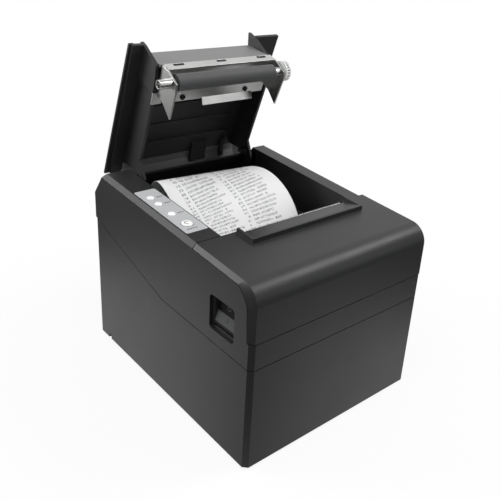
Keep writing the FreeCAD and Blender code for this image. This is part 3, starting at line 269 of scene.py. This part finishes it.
effects["edges"] = build_rubbed_edges()
print("edge radius in mm:", EDGE_RADIUS * 1000)

# %% [markdown]
# ### Settled dust
#
# Dust falls on faces that look upwards and stays off walls. The upward part of the surface normal says
# where that is, which needs no painting and stays right for any piece. Fine noise makes it specks.

# %% Settled dust
DUST_AMOUNT = 0.1
DUST_SCALE = 900.0
DUST_DETAIL = 5.0
DUST_UPWARD = (0.3, 1.0)


def build_settled_dust():
    """A mask of specks on faces that look upwards."""
    tree, source, result = new_group("settled_dust", [("Amount", DUST_AMOUNT)], [("Dust", "Float")])
    normal = tree.nodes.new("ShaderNodeNewGeometry").outputs["Normal"]
    specks = noise_node(tree, object_place(tree), DUST_SCALE, DUST_DETAIL)
    upward = ramp(tree, split_vector(tree, normal)[2], *DUST_UPWARD)
    mask = math_node(tree, "MULTIPLY", upward, specks.outputs["Fac"])
    amount = math_node(tree, "MULTIPLY", mask, source.outputs["Amount"])
    tree.links.new(amount, result.inputs["Dust"])
    return tree


effects["dust"] = build_settled_dust()
print("dust specks per metre:", DUST_SCALE)

# %% [markdown]
# ### Brushed lines
#
# Rolled sheet and turned shafts carry fine lines along one direction. An anisotropic shader could give
# the stretched highlight, but it hides the lines themselves. Here the place is squeezed along the width
# of the printer before noise reads it, so each speck of noise becomes a long line.

# %% Brushed lines
LINE_SIZE = 0.0003
LINE_STRETCH = 40.0
LINE_DETAIL = 4.0
STAIN_SCALE = 60.0
STAIN_DETAIL = 3.0


def build_brushed_lines():
    """Lines along the width as a height, and the same lines with stains as a mask."""
    tree, source, result = new_group("brushed_lines", [("Line Size", LINE_SIZE), ("Stretch", LINE_STRETCH)],
                                     [("Height", "Float"), ("Streak", "Float")])
    place = object_place(tree)
    x, y, z = split_vector(tree, place)
    merge = tree.nodes.new("ShaderNodeCombineXYZ")
    per_metre = math_node(tree, "DIVIDE", 1.0, source.outputs["Line Size"])
    squeezed = math_node(tree, "DIVIDE", x, source.outputs["Stretch"])
    lines = noise_node(tree, merge.outputs[0], per_metre, LINE_DETAIL)
    stain = noise_node(tree, place, STAIN_SCALE, STAIN_DETAIL)
    blend = math_node(tree, "MULTIPLY", lines.outputs["Fac"], stain.outputs["Fac"])
    link_chain(tree, [(squeezed, merge.inputs["X"]), (y, merge.inputs["Y"]), (z, merge.inputs["Z"]),
                      (lines.outputs["Fac"], result.inputs["Height"]), (blend, result.inputs["Streak"])])
    return tree


effects["brushed"] = build_brushed_lines()
print("effect groups:", ", ".join(effects))

# %% [markdown]
# ## Finishes
#
# Each finish is one Principled shader. Plain numbers sit on the shader's own sockets, and only what
# changes over the surface is linked. A plastic gets grain as bump, a slightly cloudy roughness, lighter
# rubbed edges and dust on top. A metal gets streaks along the way it was rolled or ground. One function
# for each kind keeps the finishes alike, and a table holds only what differs between them.


# %% Helpers for finishes
def new_finish(name, colour, roughness, metallic=0.0, specular=0.5):
    """A material with plain numbers on its shader."""
    finish = bpy.data.materials.new(name)
    finish.use_nodes = True
    shader = finish.node_tree.nodes["Principled BSDF"]
    shader.inputs["Base Color"].default_value = (*colour, 1.0)
    shader.inputs["Roughness"].default_value = roughness
    shader.inputs["Metallic"].default_value = metallic
    shader.inputs["Specular IOR Level"].default_value = specular
    return finish, finish.node_tree, shader


def place_effect(tree, effect, **values):
    """One of the shared groups, with its own values."""
    node = tree.nodes.new("ShaderNodeGroup")
    node.node_tree = effects[effect]
    for label, value in values.items():
        node.inputs[label.replace("_", " ")].default_value = value
    return node


def colour_mix(tree, mask, under, over, strength=1.0):
    """Lay a colour over another by a mask. The under layer is a colour or a socket."""
    mix = tree.nodes.new("ShaderNodeMix")
    mix.data_type = "RGBA"
    factor = math_node(tree, "MULTIPLY", mask, strength)
    tree.links.new(factor, mix.inputs["Factor"])
    if isinstance(under, tuple):
        mix.inputs["A"].default_value = (*under, 1.0)
    else:
        tree.links.new(under, mix.inputs["A"])
    mix.inputs["B"].default_value = (*over, 1.0)
    return mix.outputs["Result"]


def bump_from(tree, shader, height, depth, normal=None):
    """Bump of a given depth in metres, on top of another normal."""
    bump = tree.nodes.new("ShaderNodeBump")
    bump.inputs["Strength"].default_value = 1.0
    bump.inputs["Distance"].default_value = depth
    tree.links.new(height, bump.inputs["Height"])
    if normal is not None:
        tree.links.new(normal, bump.inputs["Normal"])
    tree.links.new(bump.outputs["Normal"], shader.inputs["Normal"])


def vary_roughness(tree, shader, mask, low, high):
    """Roughness that goes from low to high with a mask."""
    tree.links.new(ramp(tree, mask, 0.0, 1.0, low, high), shader.inputs["Roughness"])


print("finish helpers ready")

# %% Recipe for plastics
DUST_COLOUR = (0.34, 0.33, 0.31)
CLOUD_LIFT = (1.12, 0.001)
RUB_LIFT = (1.6, 0.012)
GLOSS_SPREAD = 0.06


def lifted(colour, factor, offset):
    """A lighter shade of a colour."""
    return tuple(min(1.0, channel * factor + offset) for channel in colour)


def plastic(name, colour, roughness, grain=0.0005, depth=0.00003, edge=0.0004, rub=0.35, dust=0.06,
            specular=0.5):
    """A moulding with grain, cloudy gloss, rubbed edges and a little dust."""
    finish, tree, shader = new_finish(name, colour, roughness, specular=specular)
    texture = place_effect(tree, "grain", Grain_Size=grain)
    edges = place_effect(tree, "edges", Radius=edge)
    film = place_effect(tree, "dust", Amount=dust)
    base = colour_mix(tree, texture.outputs["Mottle"], colour, lifted(colour, *CLOUD_LIFT))
    base = colour_mix(tree, edges.outputs["Wear"], base, lifted(colour, *RUB_LIFT), rub)
    base = colour_mix(tree, film.outputs["Dust"], base, DUST_COLOUR)
    tree.links.new(base, shader.inputs["Base Color"])
    vary_roughness(tree, shader, texture.outputs["Mottle"], roughness - GLOSS_SPREAD,
                   roughness + GLOSS_SPREAD)
    bump_from(tree, shader, texture.outputs["Height"], depth, edges.outputs["Normal"])
    return finish


print("plastic recipe ready")

# %% [markdown]
# Rubber, card and the milky lamp lenses are no different in kind from a moulding. They share its recipe
# with rougher or smoother values, which is simpler than a shader for each.

# %% Plastics, rubber, card and lenses
PLASTICS = {
    "dark_plastic": dict(colour=(0.0105, 0.0108, 0.0112), roughness=0.42, edge=0.00015, rub=0.1, dust=0.02,
                         specular=0.42),
    "black_plastic": dict(colour=(0.019, 0.019, 0.019), roughness=0.45, specular=0.3, dust=0.01),
    "grey_plastic": dict(colour=(0.15, 0.15, 0.15), roughness=0.5, dust=0.02),
    "panel_grey": dict(colour=(0.40, 0.41, 0.42), roughness=0.45, grain=0.0003, depth=0.00001, rub=0.1,
                       dust=0.02),
    "white_plastic": dict(colour=(0.78, 0.78, 0.76), roughness=0.35, depth=0.00001, rub=0.1, dust=0.0),
    "board_green": dict(colour=(0.02, 0.13, 0.06), roughness=0.35, grain=0.0012, depth=0.00002),
    "ceramic_head": dict(colour=(0.70, 0.67, 0.60), roughness=0.25, depth=0.000005),
    "platen_rubber": dict(colour=(0.052, 0.053, 0.055), roughness=0.62, grain=0.00025, depth=0.00002,
                          rub=0.2, dust=0.1),
    "foot_rubber": dict(colour=(0.02, 0.02, 0.02), roughness=0.8, grain=0.0006, dust=0.0),
    "core_card": dict(colour=(0.36, 0.27, 0.17), roughness=0.85, grain=0.0009, depth=0.00005, dust=0.0),
    "lens_clear": dict(colour=(0.80, 0.81, 0.80), roughness=0.25, depth=0.0, rub=0.0, dust=0.0),
    "paper_white": dict(colour=(0.76, 0.765, 0.76), roughness=0.6, grain=0.0004, depth=0.00001, rub=0.0,
                        dust=0.0),
}
finishes = {name: plastic(name, **values) for name, values in PLASTICS.items()}
print("plastics:", len(finishes))

# %% Metals
STREAK_SHADE = 0.72
STREAK_STRENGTH = 1.6
STREAK_GLOSS = (-0.08, 0.12)


def metal(name, colour, roughness, line=0.0003, stretch=40.0, depth=0.000008, edge=0.0003):
    """Sheet or turned metal with fine lines along the width of the printer."""
    finish, tree, shader = new_finish(name, colour, roughness, metallic=1.0)
    lines = place_effect(tree, "brushed", Line_Size=line, Stretch=stretch)
    edges = place_effect(tree, "edges", Radius=edge)
    duller = tuple(channel * STREAK_SHADE for channel in colour)
    base = colour_mix(tree, lines.outputs["Streak"], colour, duller, STREAK_STRENGTH)
    tree.links.new(base, shader.inputs["Base Color"])
    vary_roughness(tree, shader, lines.outputs["Streak"], roughness + STREAK_GLOSS[0],
                   roughness + STREAK_GLOSS[1])
    bump_from(tree, shader, lines.outputs["Height"], depth, edges.outputs["Normal"])
    return finish


METALS = {
    "sheet_steel": dict(colour=(0.62, 0.62, 0.61), roughness=0.34),
    "bright_steel": dict(colour=(0.62, 0.62, 0.61), roughness=0.28, line=0.0002, stretch=4.0),
    "heat_sink": dict(colour=(0.68, 0.69, 0.70), roughness=0.4, line=0.0005),
    "brass_gear": dict(colour=(0.72, 0.52, 0.22), roughness=0.3, stretch=2.0),
}
finishes.update({name: metal(name, **values) for name, values in METALS.items()})
print("finishes:", len(finishes))

# %% [markdown]
# ## Printed paper
#
# The roll carries two columns of small grey print. An image of a receipt could be wrapped around it, but
# at this size print is only a texture of dark dots. So a node group makes it without any letters: the
# angle around the curve gives the row, the place across the width gives the column and the character,
# and white noise decides which dots are inked, where a word ends and how long a line is.

# %% Measures of the print
PRINT_CENTRE = (0.0315, 0.0809)
PRINT_RADIUS = 0.0455
ROW_PITCH = 0.0036
CHARACTER = 0.0017
COLUMN_STARTS = (-0.0285, 0.0045)
COLUMN_SPLIT = 0.0015
SHORTEST_LINE = 12.0
LINE_SPREAD = 5.0
NUMBER_LENGTH = 2.0
SPACE_SHARE = 0.06
COLUMN_NUMBERS = 40.0
DOTS_ACROSS = 4.0
DOTS_ALONG = 8.0
BLANK_SHARE = 0.42
ROW_BODY = (0.25, 0.8)
CHARACTER_BODY = 0.8
DOT_SEED, SPACE_SEED, LINE_SEED = 0.5, 1.5, 3.5
print("print rows every", ROW_PITCH * 1000, "mm")


# %% Rows of print around the curve
def white_noise(tree, across, along, seed):
    """A random value for each whole-numbered place."""
    merge = tree.nodes.new("ShaderNodeCombineXYZ")
    noise = tree.nodes.new("ShaderNodeTexWhiteNoise")
    link_chain(tree, [(across, merge.inputs["X"]), (along, merge.inputs["Y"]),
                      (merge.outputs[0], noise.inputs["Vector"])])
    merge.inputs["Z"].default_value = seed
    return noise.outputs["Value"]


def product(tree, *factors):
    """Sockets or numbers multiplied together."""
    result = factors[0]
    for factor in factors[1:]:
        result = math_node(tree, "MULTIPLY", result, factor)
    return result


def build_receipt_print():
    """A mask of inked dots in rows and two columns."""
    tree, source, result = new_group("receipt_print", [("Row Pitch", ROW_PITCH), ("Character", CHARACTER)],
                                     [("Ink", "Float")])
    x, y, z = split_vector(tree, object_place(tree))
    depth = math_node(tree, "SUBTRACT", y, PRINT_CENTRE[0])
    height = math_node(tree, "SUBTRACT", z, PRINT_CENTRE[1])
    around = product(tree, math_node(tree, "ARCTAN2", height, depth), PRINT_RADIUS)
    rows = math_node(tree, "DIVIDE", around, source.outputs["Row Pitch"])
    row = math_node(tree, "FLOOR", rows)
    in_row = math_node(tree, "FRACT", rows)
    second = math_node(tree, "GREATER_THAN", x, COLUMN_SPLIT)
    shift = product(tree, second, COLUMN_STARTS[1] - COLUMN_STARTS[0])
    across = math_node(tree, "SUBTRACT", math_node(tree, "SUBTRACT", x, COLUMN_STARTS[0]), shift)
    characters = math_node(tree, "DIVIDE", across, source.outputs["Character"])
    character = math_node(tree, "FLOOR", characters)
    in_character = math_node(tree, "FRACT", characters)
    # Each line has its own length, a space after its number and a few other spaces
    longer = product(tree, white_noise(tree, second, row, LINE_SEED), LINE_SPREAD)
    line = math_node(tree, "ADD", longer, SHORTEST_LINE)
    inside = product(tree, math_node(tree, "LESS_THAN", character, line),
                     math_node(tree, "GREATER_THAN", characters, 0.0))
    numbered = math_node(tree, "ADD", character, product(tree, second, COLUMN_NUMBERS))
    chance = white_noise(tree, numbered, row, SPACE_SEED)
    after_number = math_node(tree, "COMPARE", character, NUMBER_LENGTH)
    word = product(tree, math_node(tree, "GREATER_THAN", chance, SPACE_SHARE),
                   math_node(tree, "SUBTRACT", 1.0, after_number))
    # Dots fill the middle of each row and leave a gap after each character
    dot_across = math_node(tree, "FLOOR", product(tree, characters, DOTS_ACROSS))
    dot_along = math_node(tree, "FLOOR", product(tree, rows, DOTS_ALONG))
    dots = math_node(tree, "GREATER_THAN", white_noise(tree, dot_across, dot_along, DOT_SEED), BLANK_SHARE)
    body = product(tree, math_node(tree, "GREATER_THAN", in_row, ROW_BODY[0]),
                   math_node(tree, "LESS_THAN", in_row, ROW_BODY[1]),
                   math_node(tree, "LESS_THAN", in_character, CHARACTER_BODY))
    tree.links.new(product(tree, dots, body, word, inside), result.inputs["Ink"])
    return tree


effects["print"] = build_receipt_print()
print("effect groups:", ", ".join(effects))

# %% Thermal paper
PAPER_SHADES = ((0.74, 0.745, 0.74), (0.79, 0.795, 0.79))
PAPER_INK = (0.22, 0.22, 0.23)
PAPER_ROUGHNESS = (0.52, 0.68)
plain = PLASTICS["paper_white"]
printed, tree, shader = new_finish("printed_paper", plain["colour"], plain["roughness"])
marks = place_effect(tree, "print")
fibres = place_effect(tree, "grain", Grain_Size=plain["grain"])
base = colour_mix(tree, fibres.outputs["Mottle"], *PAPER_SHADES)
base = colour_mix(tree, marks.outputs["Ink"], base, PAPER_INK)
tree.links.new(base, shader.inputs["Base Color"])
vary_roughness(tree, shader, fibres.outputs["Mottle"], *PAPER_ROUGHNESS)
bump_from(tree, shader, fibres.outputs["Height"], plain["depth"])
print("printed paper made")

# %% [markdown]
# ## Pieces with a finish of their own
#
# A few pieces look different from others of the same stuff. The bracket's screws are blackened and the
# platen gear is milky nylon. The strip behind the lid is painted lighter than the dark plastic, as painted
# light where light falls on it. The rocker is a single moulding with painted light on its lower half and
# painted shade in matt black above and below it, picked by height on the surface.

# %% A rocker with painted light and shade
# Painted light and shade: the rocker's lower half is painted lit, and the rest is painted black as shade
ROCKER_PAINTED_SHADE = (0.004, 0.004, 0.004)
ROCKER_PAINTED_LIGHT = (0.058, 0.059, 0.061)
ROCKER_LIT = (0.0838, 0.0907)
ROCKER_FADES = (0.001, 0.0003)
ROCKER_ROUGHNESS = (0.45, 0.6)
ROCKER_GRAIN = 0.0006
ROCKER_DEPTH = 0.00003
rocker_painted_light, tree, shader = new_finish("rocker_painted_light_and_shade", ROCKER_PAINTED_SHADE, 0.5, specular=0.12)
height = split_vector(tree, object_place(tree))[2]
above = soft_step(tree, height, ROCKER_LIT[0], ROCKER_LIT[0] + ROCKER_FADES[0])
below = soft_step(tree, height, ROCKER_LIT[1], ROCKER_LIT[1] - ROCKER_FADES[1])
texture = place_effect(tree, "grain", Grain_Size=ROCKER_GRAIN)
# Painted light inside the band of heights, painted shade in matt black above and below it
base = colour_mix(tree, product(tree, above, below), ROCKER_PAINTED_SHADE, ROCKER_PAINTED_LIGHT)
tree.links.new(base, shader.inputs["Base Color"])
vary_roughness(tree, shader, texture.outputs["Mottle"], *ROCKER_ROUGHNESS)
bump_from(tree, shader, texture.outputs["Height"], ROCKER_DEPTH)
print("rocker finish made")

# %% Finishes for single pieces
own_finishes = {
    "paper_roll": printed,
    "paper_web": printed,
    "bracket_screws": metal("blackened_screws", (0.035, 0.034, 0.033), 0.4, stretch=2.0),
    "platen_gear": plastic("milky_nylon", (0.66, 0.67, 0.66), 0.4, depth=0.00001, rub=0.1, dust=0.0),
    # The strip behind the lid is painted lighter than the dark plastic, as painted light where light falls
    # on it
    "hinge_cover": plastic("painted_light_strip", (0.115, 0.117, 0.117), 0.5, dust=0.02),
    "power_rocker": rocker_painted_light,
}
print("single finishes:", len(own_finishes))

# %% Give every piece its finish
slots = {row["node"]: row["material_slot"] for row in frame["record"]["subparts"]}
for name, piece in nodes.items():
    piece.data.materials.clear()
    piece.data.materials.append(own_finishes.get(name, finishes[slots[name]]))
print("dressed pieces:", len(slots))

# %% [markdown]
# ## The loose end of the paper
#
# The loose end of the paper arches away from the roll while the lid is open. A closing lid presses it
# back and down towards the roll. A rigid sheet would cut through the lid. Here a copy of the sheet takes
# the place of the original piece, which is hidden, and rides with the case.

# %% Loose sheet
sheet_data = nodes["paper_web"].data.copy()
sheet_data.name = "loose_sheet"
loose_sheet = bpy.data.objects.new("loose_sheet", sheet_data)
scene.collection.objects.link(loose_sheet)
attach(loose_sheet, "case")
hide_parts("paper_web")
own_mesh(loose_sheet)
print("loose sheet faces:", len(sheet_data.polygons))

# %% [markdown]
# ## Printed marks on the panel and the rocker
#
# Captions beside the lamps are printed ink. Plain bars stand in for words, so nobody has to read them.
# They could be a mask in the panel's finish, but real plates a few hundredths of a millimetre thick have
# crisp round ends and export as shapes. The feed button gets an open ring and the rocker a stroke for on
# and a ring for off.

# %% Flat ink shapes
INK_THICKNESS = 0.00004
ROUND_STEPS = 6
RING_STEP = 0.35
RING_OVERLAP = 1.1


def raise_plate(sheet, rim, rise):
    """Add a flat face through the corners of a rim, and raise it into a plate."""
    face = sheet.faces.new([sheet.verts.new(corner) for corner in rim])
    raised = bmesh.ops.extrude_face_region(sheet, geom=[face])
    corners = [item for item in raised["geom"] if isinstance(item, bmesh.types.BMVert)]
    bmesh.ops.translate(sheet, verts=corners, vec=rise)


def ink_bar(sheet, centre, along, across, length, width):
    """A bar with round ends, added to a sheet of ink."""
    rim = []
    for end, start in ((1, -0.5), (-1, 0.5)):
        tip = along * (end * (length - width) / 2)
        for step in range(ROUND_STEPS + 1):
            turn = math.pi * (start + step / ROUND_STEPS)
            rim.append(centre + tip + width / 2 * (math.cos(turn) * along + math.sin(turn) * across))
    raise_plate(sheet, rim, along.cross(across) * INK_THICKNESS)


def ink_ring(sheet, centre, along, across, radius, width, sweep, start=0.0):
    """An arc of ink made from short bars that overlap a little."""
    steps = max(3, int(sweep / RING_STEP))
    length = 2 * RING_OVERLAP * radius * math.sin(sweep / steps / 2)
    for step in range(steps):
        turn = start + sweep * (step + 0.5) / steps
        out = math.cos(turn) * along + math.sin(turn) * across
        tangent = math.cos(turn) * across - math.sin(turn) * along
        ink_bar(sheet, centre + radius * out, tangent, -out, length, width)


def riding_piece(name, sheet, body, finish):
    """Turn a sheet of faces into a piece that moves with a body."""
    bmesh.ops.recalc_face_normals(sheet, faces=sheet.faces)
    data = bpy.data.meshes.new(name)
    sheet.to_mesh(data)
    sheet.free()
    data.materials.append(finish)
    piece = bpy.data.objects.new(name, data)
    scene.collection.objects.link(piece)
    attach(piece, body)
    return piece


ink = plastic("printed_ink", (0.045, 0.046, 0.05), 0.55, depth=0.0, rub=0.0, dust=0.0)
print("ink thickness in mm:", INK_THICKNESS * 1000)

# %% Places on the sloping panel
DECK_SLOPE = math.radians(4.346)
DECK_START = Vector((0.0, -0.0415, 0.1247))
PANEL_X = Vector((1.0, 0.0, 0.0))
PANEL_Y = Vector((0.0, math.cos(DECK_SLOPE), math.sin(DECK_SLOPE)))
PANEL_UP = PANEL_X.cross(PANEL_Y)


def on_panel(x, along, lift):
    """A point on the sloping panel, measured along it from the front of the deck."""
    return DECK_START + x * PANEL_X + along * PANEL_Y + lift * PANEL_UP


def top_above_deck(name):
    """How far a piece rises above the deck plane."""
    return max(PANEL_UP.dot(corner.co - DECK_START) for corner in nodes[name].data.vertices)


panel_top = top_above_deck("led_panel")
button_top = top_above_deck("feed_button")
print("panel and button above the deck in mm:", round(panel_top * 1000, 2), round(button_top * 1000, 2))

# %% Captions on the lamp panel
LAMP_X = -0.0628
LAMP_PLACES = (0.0367, 0.0521, 0.0617)
LAMP_BARS = ((0.0048, 0.0016), (0.0066, 0.0012), (0.0081, 0.0009))
LAMP_CAPTION_DROP = 0.0006
BUTTON_X = -0.0618
BUTTON_PLACE = 0.0213
BUTTON_BARS = (-0.0030, -0.0011, 0.0008, 0.0027)
BUTTON_BAR_LENGTH = 0.0014
BUTTON_CAPTION_DROP = 0.0059
CAPTION_WIDTH = 0.0010

captions = bmesh.new()
for place in LAMP_PLACES:
    for offset, length in LAMP_BARS:
        spot = on_panel(LAMP_X + offset, place - LAMP_CAPTION_DROP, panel_top)
        ink_bar(captions, spot, PANEL_X, PANEL_Y, length, CAPTION_WIDTH)
for offset in BUTTON_BARS:
    spot = on_panel(BUTTON_X + offset, BUTTON_PLACE - BUTTON_CAPTION_DROP, panel_top)
    ink_bar(captions, spot, PANEL_X, PANEL_Y, BUTTON_BAR_LENGTH, CAPTION_WIDTH)
riding_piece("panel_captions", captions, "case", ink)
print("caption bars:", len(LAMP_PLACES) * len(LAMP_BARS) + len(BUTTON_BARS))

# %% Ring on the feed button
BUTTON_RING = dict(radius=0.0016, width=0.0005, sweep=4.2, start=0.6)
ring = bmesh.new()
ink_ring(ring, on_panel(BUTTON_X, BUTTON_PLACE, button_top), PANEL_X, PANEL_Y, **BUTTON_RING)
riding_piece("button_ring", ring, "feed_button", ink)
print("button ring radius in mm:", BUTTON_RING["radius"] * 1000)

# %% Stroke and ring on the rocker
ROCKER_ACROSS = Vector((0.0, 1.0, 0.0))
LOWER_UP = Vector((0.31, 0.0, 0.951))
UPPER_UP = Vector((0.03, 0.0, 1.0))
STROKE_CENTRE = Vector((-0.06877, -0.0718, 0.08795))
STROKE_SIZE = (0.0028, 0.0010)
OFF_CENTRE = Vector((-0.06760, -0.0718, 0.0954))
OFF_RING = dict(radius=0.0014, width=0.0005, sweep=2 * math.pi)
strokes = bmesh.new()
ink_bar(strokes, STROKE_CENTRE, LOWER_UP, ROCKER_ACROSS, *STROKE_SIZE)
riding_piece("rocker_on_stroke", strokes, "power_rocker", finishes["black_plastic"])
rings = bmesh.new()
ink_ring(rings, OFF_CENTRE, UPPER_UP, ROCKER_ACROSS, **OFF_RING)
riding_piece("rocker_off_ring", rings, "power_rocker", ink)
print("rocker stroke length in mm:", STROKE_SIZE[0] * 1000)

# %% [markdown]
# ## Small webs at the lid's hinge
#
# Where the lid's right arm meets its rear edge, a moulding has a thin web and a rolled edge that keep
# light out of the paper well. They could be boxes, but their corners follow the lid's slope. So each is
# an outline in the plane across the hinge, made solid over a short width, with a bevel on its edges.

# %% Webs across the hinge
WEB_BEVEL = 0.0003
WEB_BEVEL_STEPS = 2
EDGE_START = Vector((0.0961, 0.1162))
EDGE_DOWN = Vector((0.350, -0.937))
EDGE_BACK = Vector((0.937, 0.350))
EDGE_CORNERS = ((0.0, 0.0), (0.0, 0.0019), (0.0026, 0.0019), (0.0034, 0.0011), (0.0034, 0.0))
EDGE_SPAN = (0.0537, 0.0724)
ARM_CORNERS = ((0.0660, 0.1258), (0.0660, 0.1300), (0.0735, 0.1300), (0.0745, 0.1285), (0.0745, 0.1264))
ARM_SPAN = (0.0504, 0.0554)


def hinge_web(name, outline, span, finish):
    """A plate between two places across the width, from an outline of depth and height."""
    left, right = span
    sheet = bmesh.new()
    raise_plate(sheet, [(left, depth, height) for depth, height in outline], (right - left, 0.0, 0.0))
    bmesh.ops.bevel(sheet, geom=sheet.edges[:], offset=WEB_BEVEL, segments=WEB_BEVEL_STEPS, affect="EDGES")
    return riding_piece(name, sheet, "lid", finish)


rolled_edge = [EDGE_START + down * EDGE_DOWN + behind * EDGE_BACK for down, behind in EDGE_CORNERS]
hinge_web("lid_rolled_edge", rolled_edge, EDGE_SPAN, finishes["black_plastic"])
hinge_web("lid_arm_web", ARM_CORNERS, ARM_SPAN, finishes["dark_plastic"])
print("hinge webs made")

# %% [markdown]
# ## Floor, world and lamps
#
# The printer stands on a white sweep. A plain white floor would turn grey away from the lamps, so to the
# camera this one glows white, and only a soft shadow is left around the printer. In the gloss of the
# plastic the floor is bright near the printer and dark further off and at the front left, as a lit table
# would be.

# %% Floor
FLOOR_SIZE = 40.0
FLOOR_GREY = (0.8, 0.8, 0.8, 1.0)
FLOOR_ROUGHNESS = 0.9
TABLE_FADE = (0.31, 0.15)
CORNER_FADE = (-0.3, -0.04)
DARK_FLOOR = 0.04
SHADOW_FADE = (0.12, 0.45)
SHADOW_SHARE = 0.12
GLOSS_SHARE = 0.9

floor_mesh = bmesh.new()
bmesh.ops.create_grid(floor_mesh, x_segments=1, y_segments=1, size=FLOOR_SIZE / 2)
floor_data = bpy.data.meshes.new("floor")
floor_mesh.to_mesh(floor_data)
floor_mesh.free()
floor = bpy.data.objects.new("floor", floor_data)
scene.collection.objects.link(floor)
print("floor of", FLOOR_SIZE, "m")


# %% White sweep
def ray_is_seen(path):
    """A mask for what the camera sees, directly or through a clear piece."""
    return math_node(path.id_data, "MAXIMUM", path.outputs["Is Camera Ray"],
                     path.outputs["Is Transmission Ray"])


sweep = bpy.data.materials.new("white_sweep")
sweep.use_nodes = True
tree = sweep.node_tree
surface = tree.nodes["Principled BSDF"]
surface.inputs["Base Color"].default_value = FLOOR_GREY
surface.inputs["Roughness"].default_value = FLOOR_ROUGHNESS
glow = tree.nodes.new("ShaderNodeEmission")
path = tree.nodes.new("ShaderNodeLightPath")
mix = tree.nodes.new("ShaderNodeMixShader")
place = object_place(tree)
x, y, z = split_vector(tree, place)
reach = vector_value(tree, "LENGTH", place)
lit_table = soft_step(tree, reach, *TABLE_FADE)
off_corner = soft_step(tree, math_node(tree, "ADD", x, y), *CORNER_FADE)
mirrored = math_node(tree, "MAXIMUM", product(tree, lit_table, off_corner), DARK_FLOOR)
seen = ray_is_seen(path)
brightness = math_node(tree, "MAXIMUM", seen, mirrored)
clear_of_shadow = product(tree, soft_step(tree, reach, *SHADOW_FADE), SHADOW_SHARE)
clean = math_node(tree, "ADD", clear_of_shadow, 1.0 - SHADOW_SHARE)
share = math_node(tree, "MAXIMUM", product(tree, seen, clean),
                  product(tree, path.outputs["Is Glossy Ray"], GLOSS_SHARE))
link_chain(tree, [(brightness, glow.inputs["Strength"]), (share, mix.inputs[0]),
                  (surface.outputs[0], mix.inputs[1]), (glow.outputs[0], mix.inputs[2]),
                  (mix.outputs[0], tree.nodes["Material Output"].inputs["Surface"])])
floor_data.materials.append(sweep)
print("white sweep made")

# %% [markdown]
# The room around a studio table is dark in front and light behind, and satin plastic shows both. An image
# of a studio could light the scene, but a few nodes do it: white to the camera, an even dim light for
# what scatters, and a light rear half in reflections.

# %% World
AMBIENT = 0.4
DARK_CEILING = 0.05
BEHIND_FADE = (-0.35, 0.35)
world = bpy.data.worlds.new("studio")
scene.world = world
world.use_nodes = True
tree = world.node_tree
sky = tree.nodes["Background"]
sky.inputs["Color"].default_value = (1.0, 1.0, 1.0, 1.0)
path = tree.nodes.new("ShaderNodeLightPath")
direction = split_vector(tree, tree.nodes.new("ShaderNodeTexCoord").outputs["Generated"])
room = math_node(tree, "MAXIMUM", soft_step(tree, direction[1], *BEHIND_FADE), DARK_CEILING)
mirrored = product(tree, path.outputs["Is Glossy Ray"], room)
scattered = product(tree, path.outputs["Is Diffuse Ray"], AMBIENT)
strength = math_node(tree, "MAXIMUM", math_node(tree, "MAXIMUM", ray_is_seen(path), mirrored), scattered)
tree.links.new(strength, sky.inputs["Strength"])
print("world ready")

# %% [markdown]
# Four area lamps stand around the table: at the rear left, at the right, a weak strip at the front right
# and one overhead. Point lamps would give hard glints, and large soft ones give the broad reflections by
# which satin plastic is known.

# %% Lamps
LAMP_AIM = Vector((0.0, 0.0, 0.08))
LAMPS = (
    ("rear_left_softbox", Vector((-0.95, 0.95, 0.5)), (0.7, 0.8), 12.0),
    ("right_softbox", Vector((0.75, -0.45, 0.95)), (0.45, 0.45), 6.0),
    ("front_strip", Vector((0.75, -0.95, 0.38)), (0.35, 0.7), 1.3),
    ("overhead_softbox", Vector((-0.3, -0.35, 1.3)), (0.9, 0.7), 9.0),
)
for name, stand, size, watts in LAMPS:
    light = bpy.data.lights.new(name, "AREA")
    light.shape = "RECTANGLE"
    light.size, light.size_y = size
    light.energy = watts
    lamp = bpy.data.objects.new(name, light)
    lamp.location = stand
    lamp.rotation_euler = (LAMP_AIM - stand).to_track_quat("-Z", "Y").to_euler()
    scene.collection.objects.link(lamp)
print("lamps:", len(LAMPS))

# %% View settings
bpy.context.scene.view_settings.view_transform = "Standard"
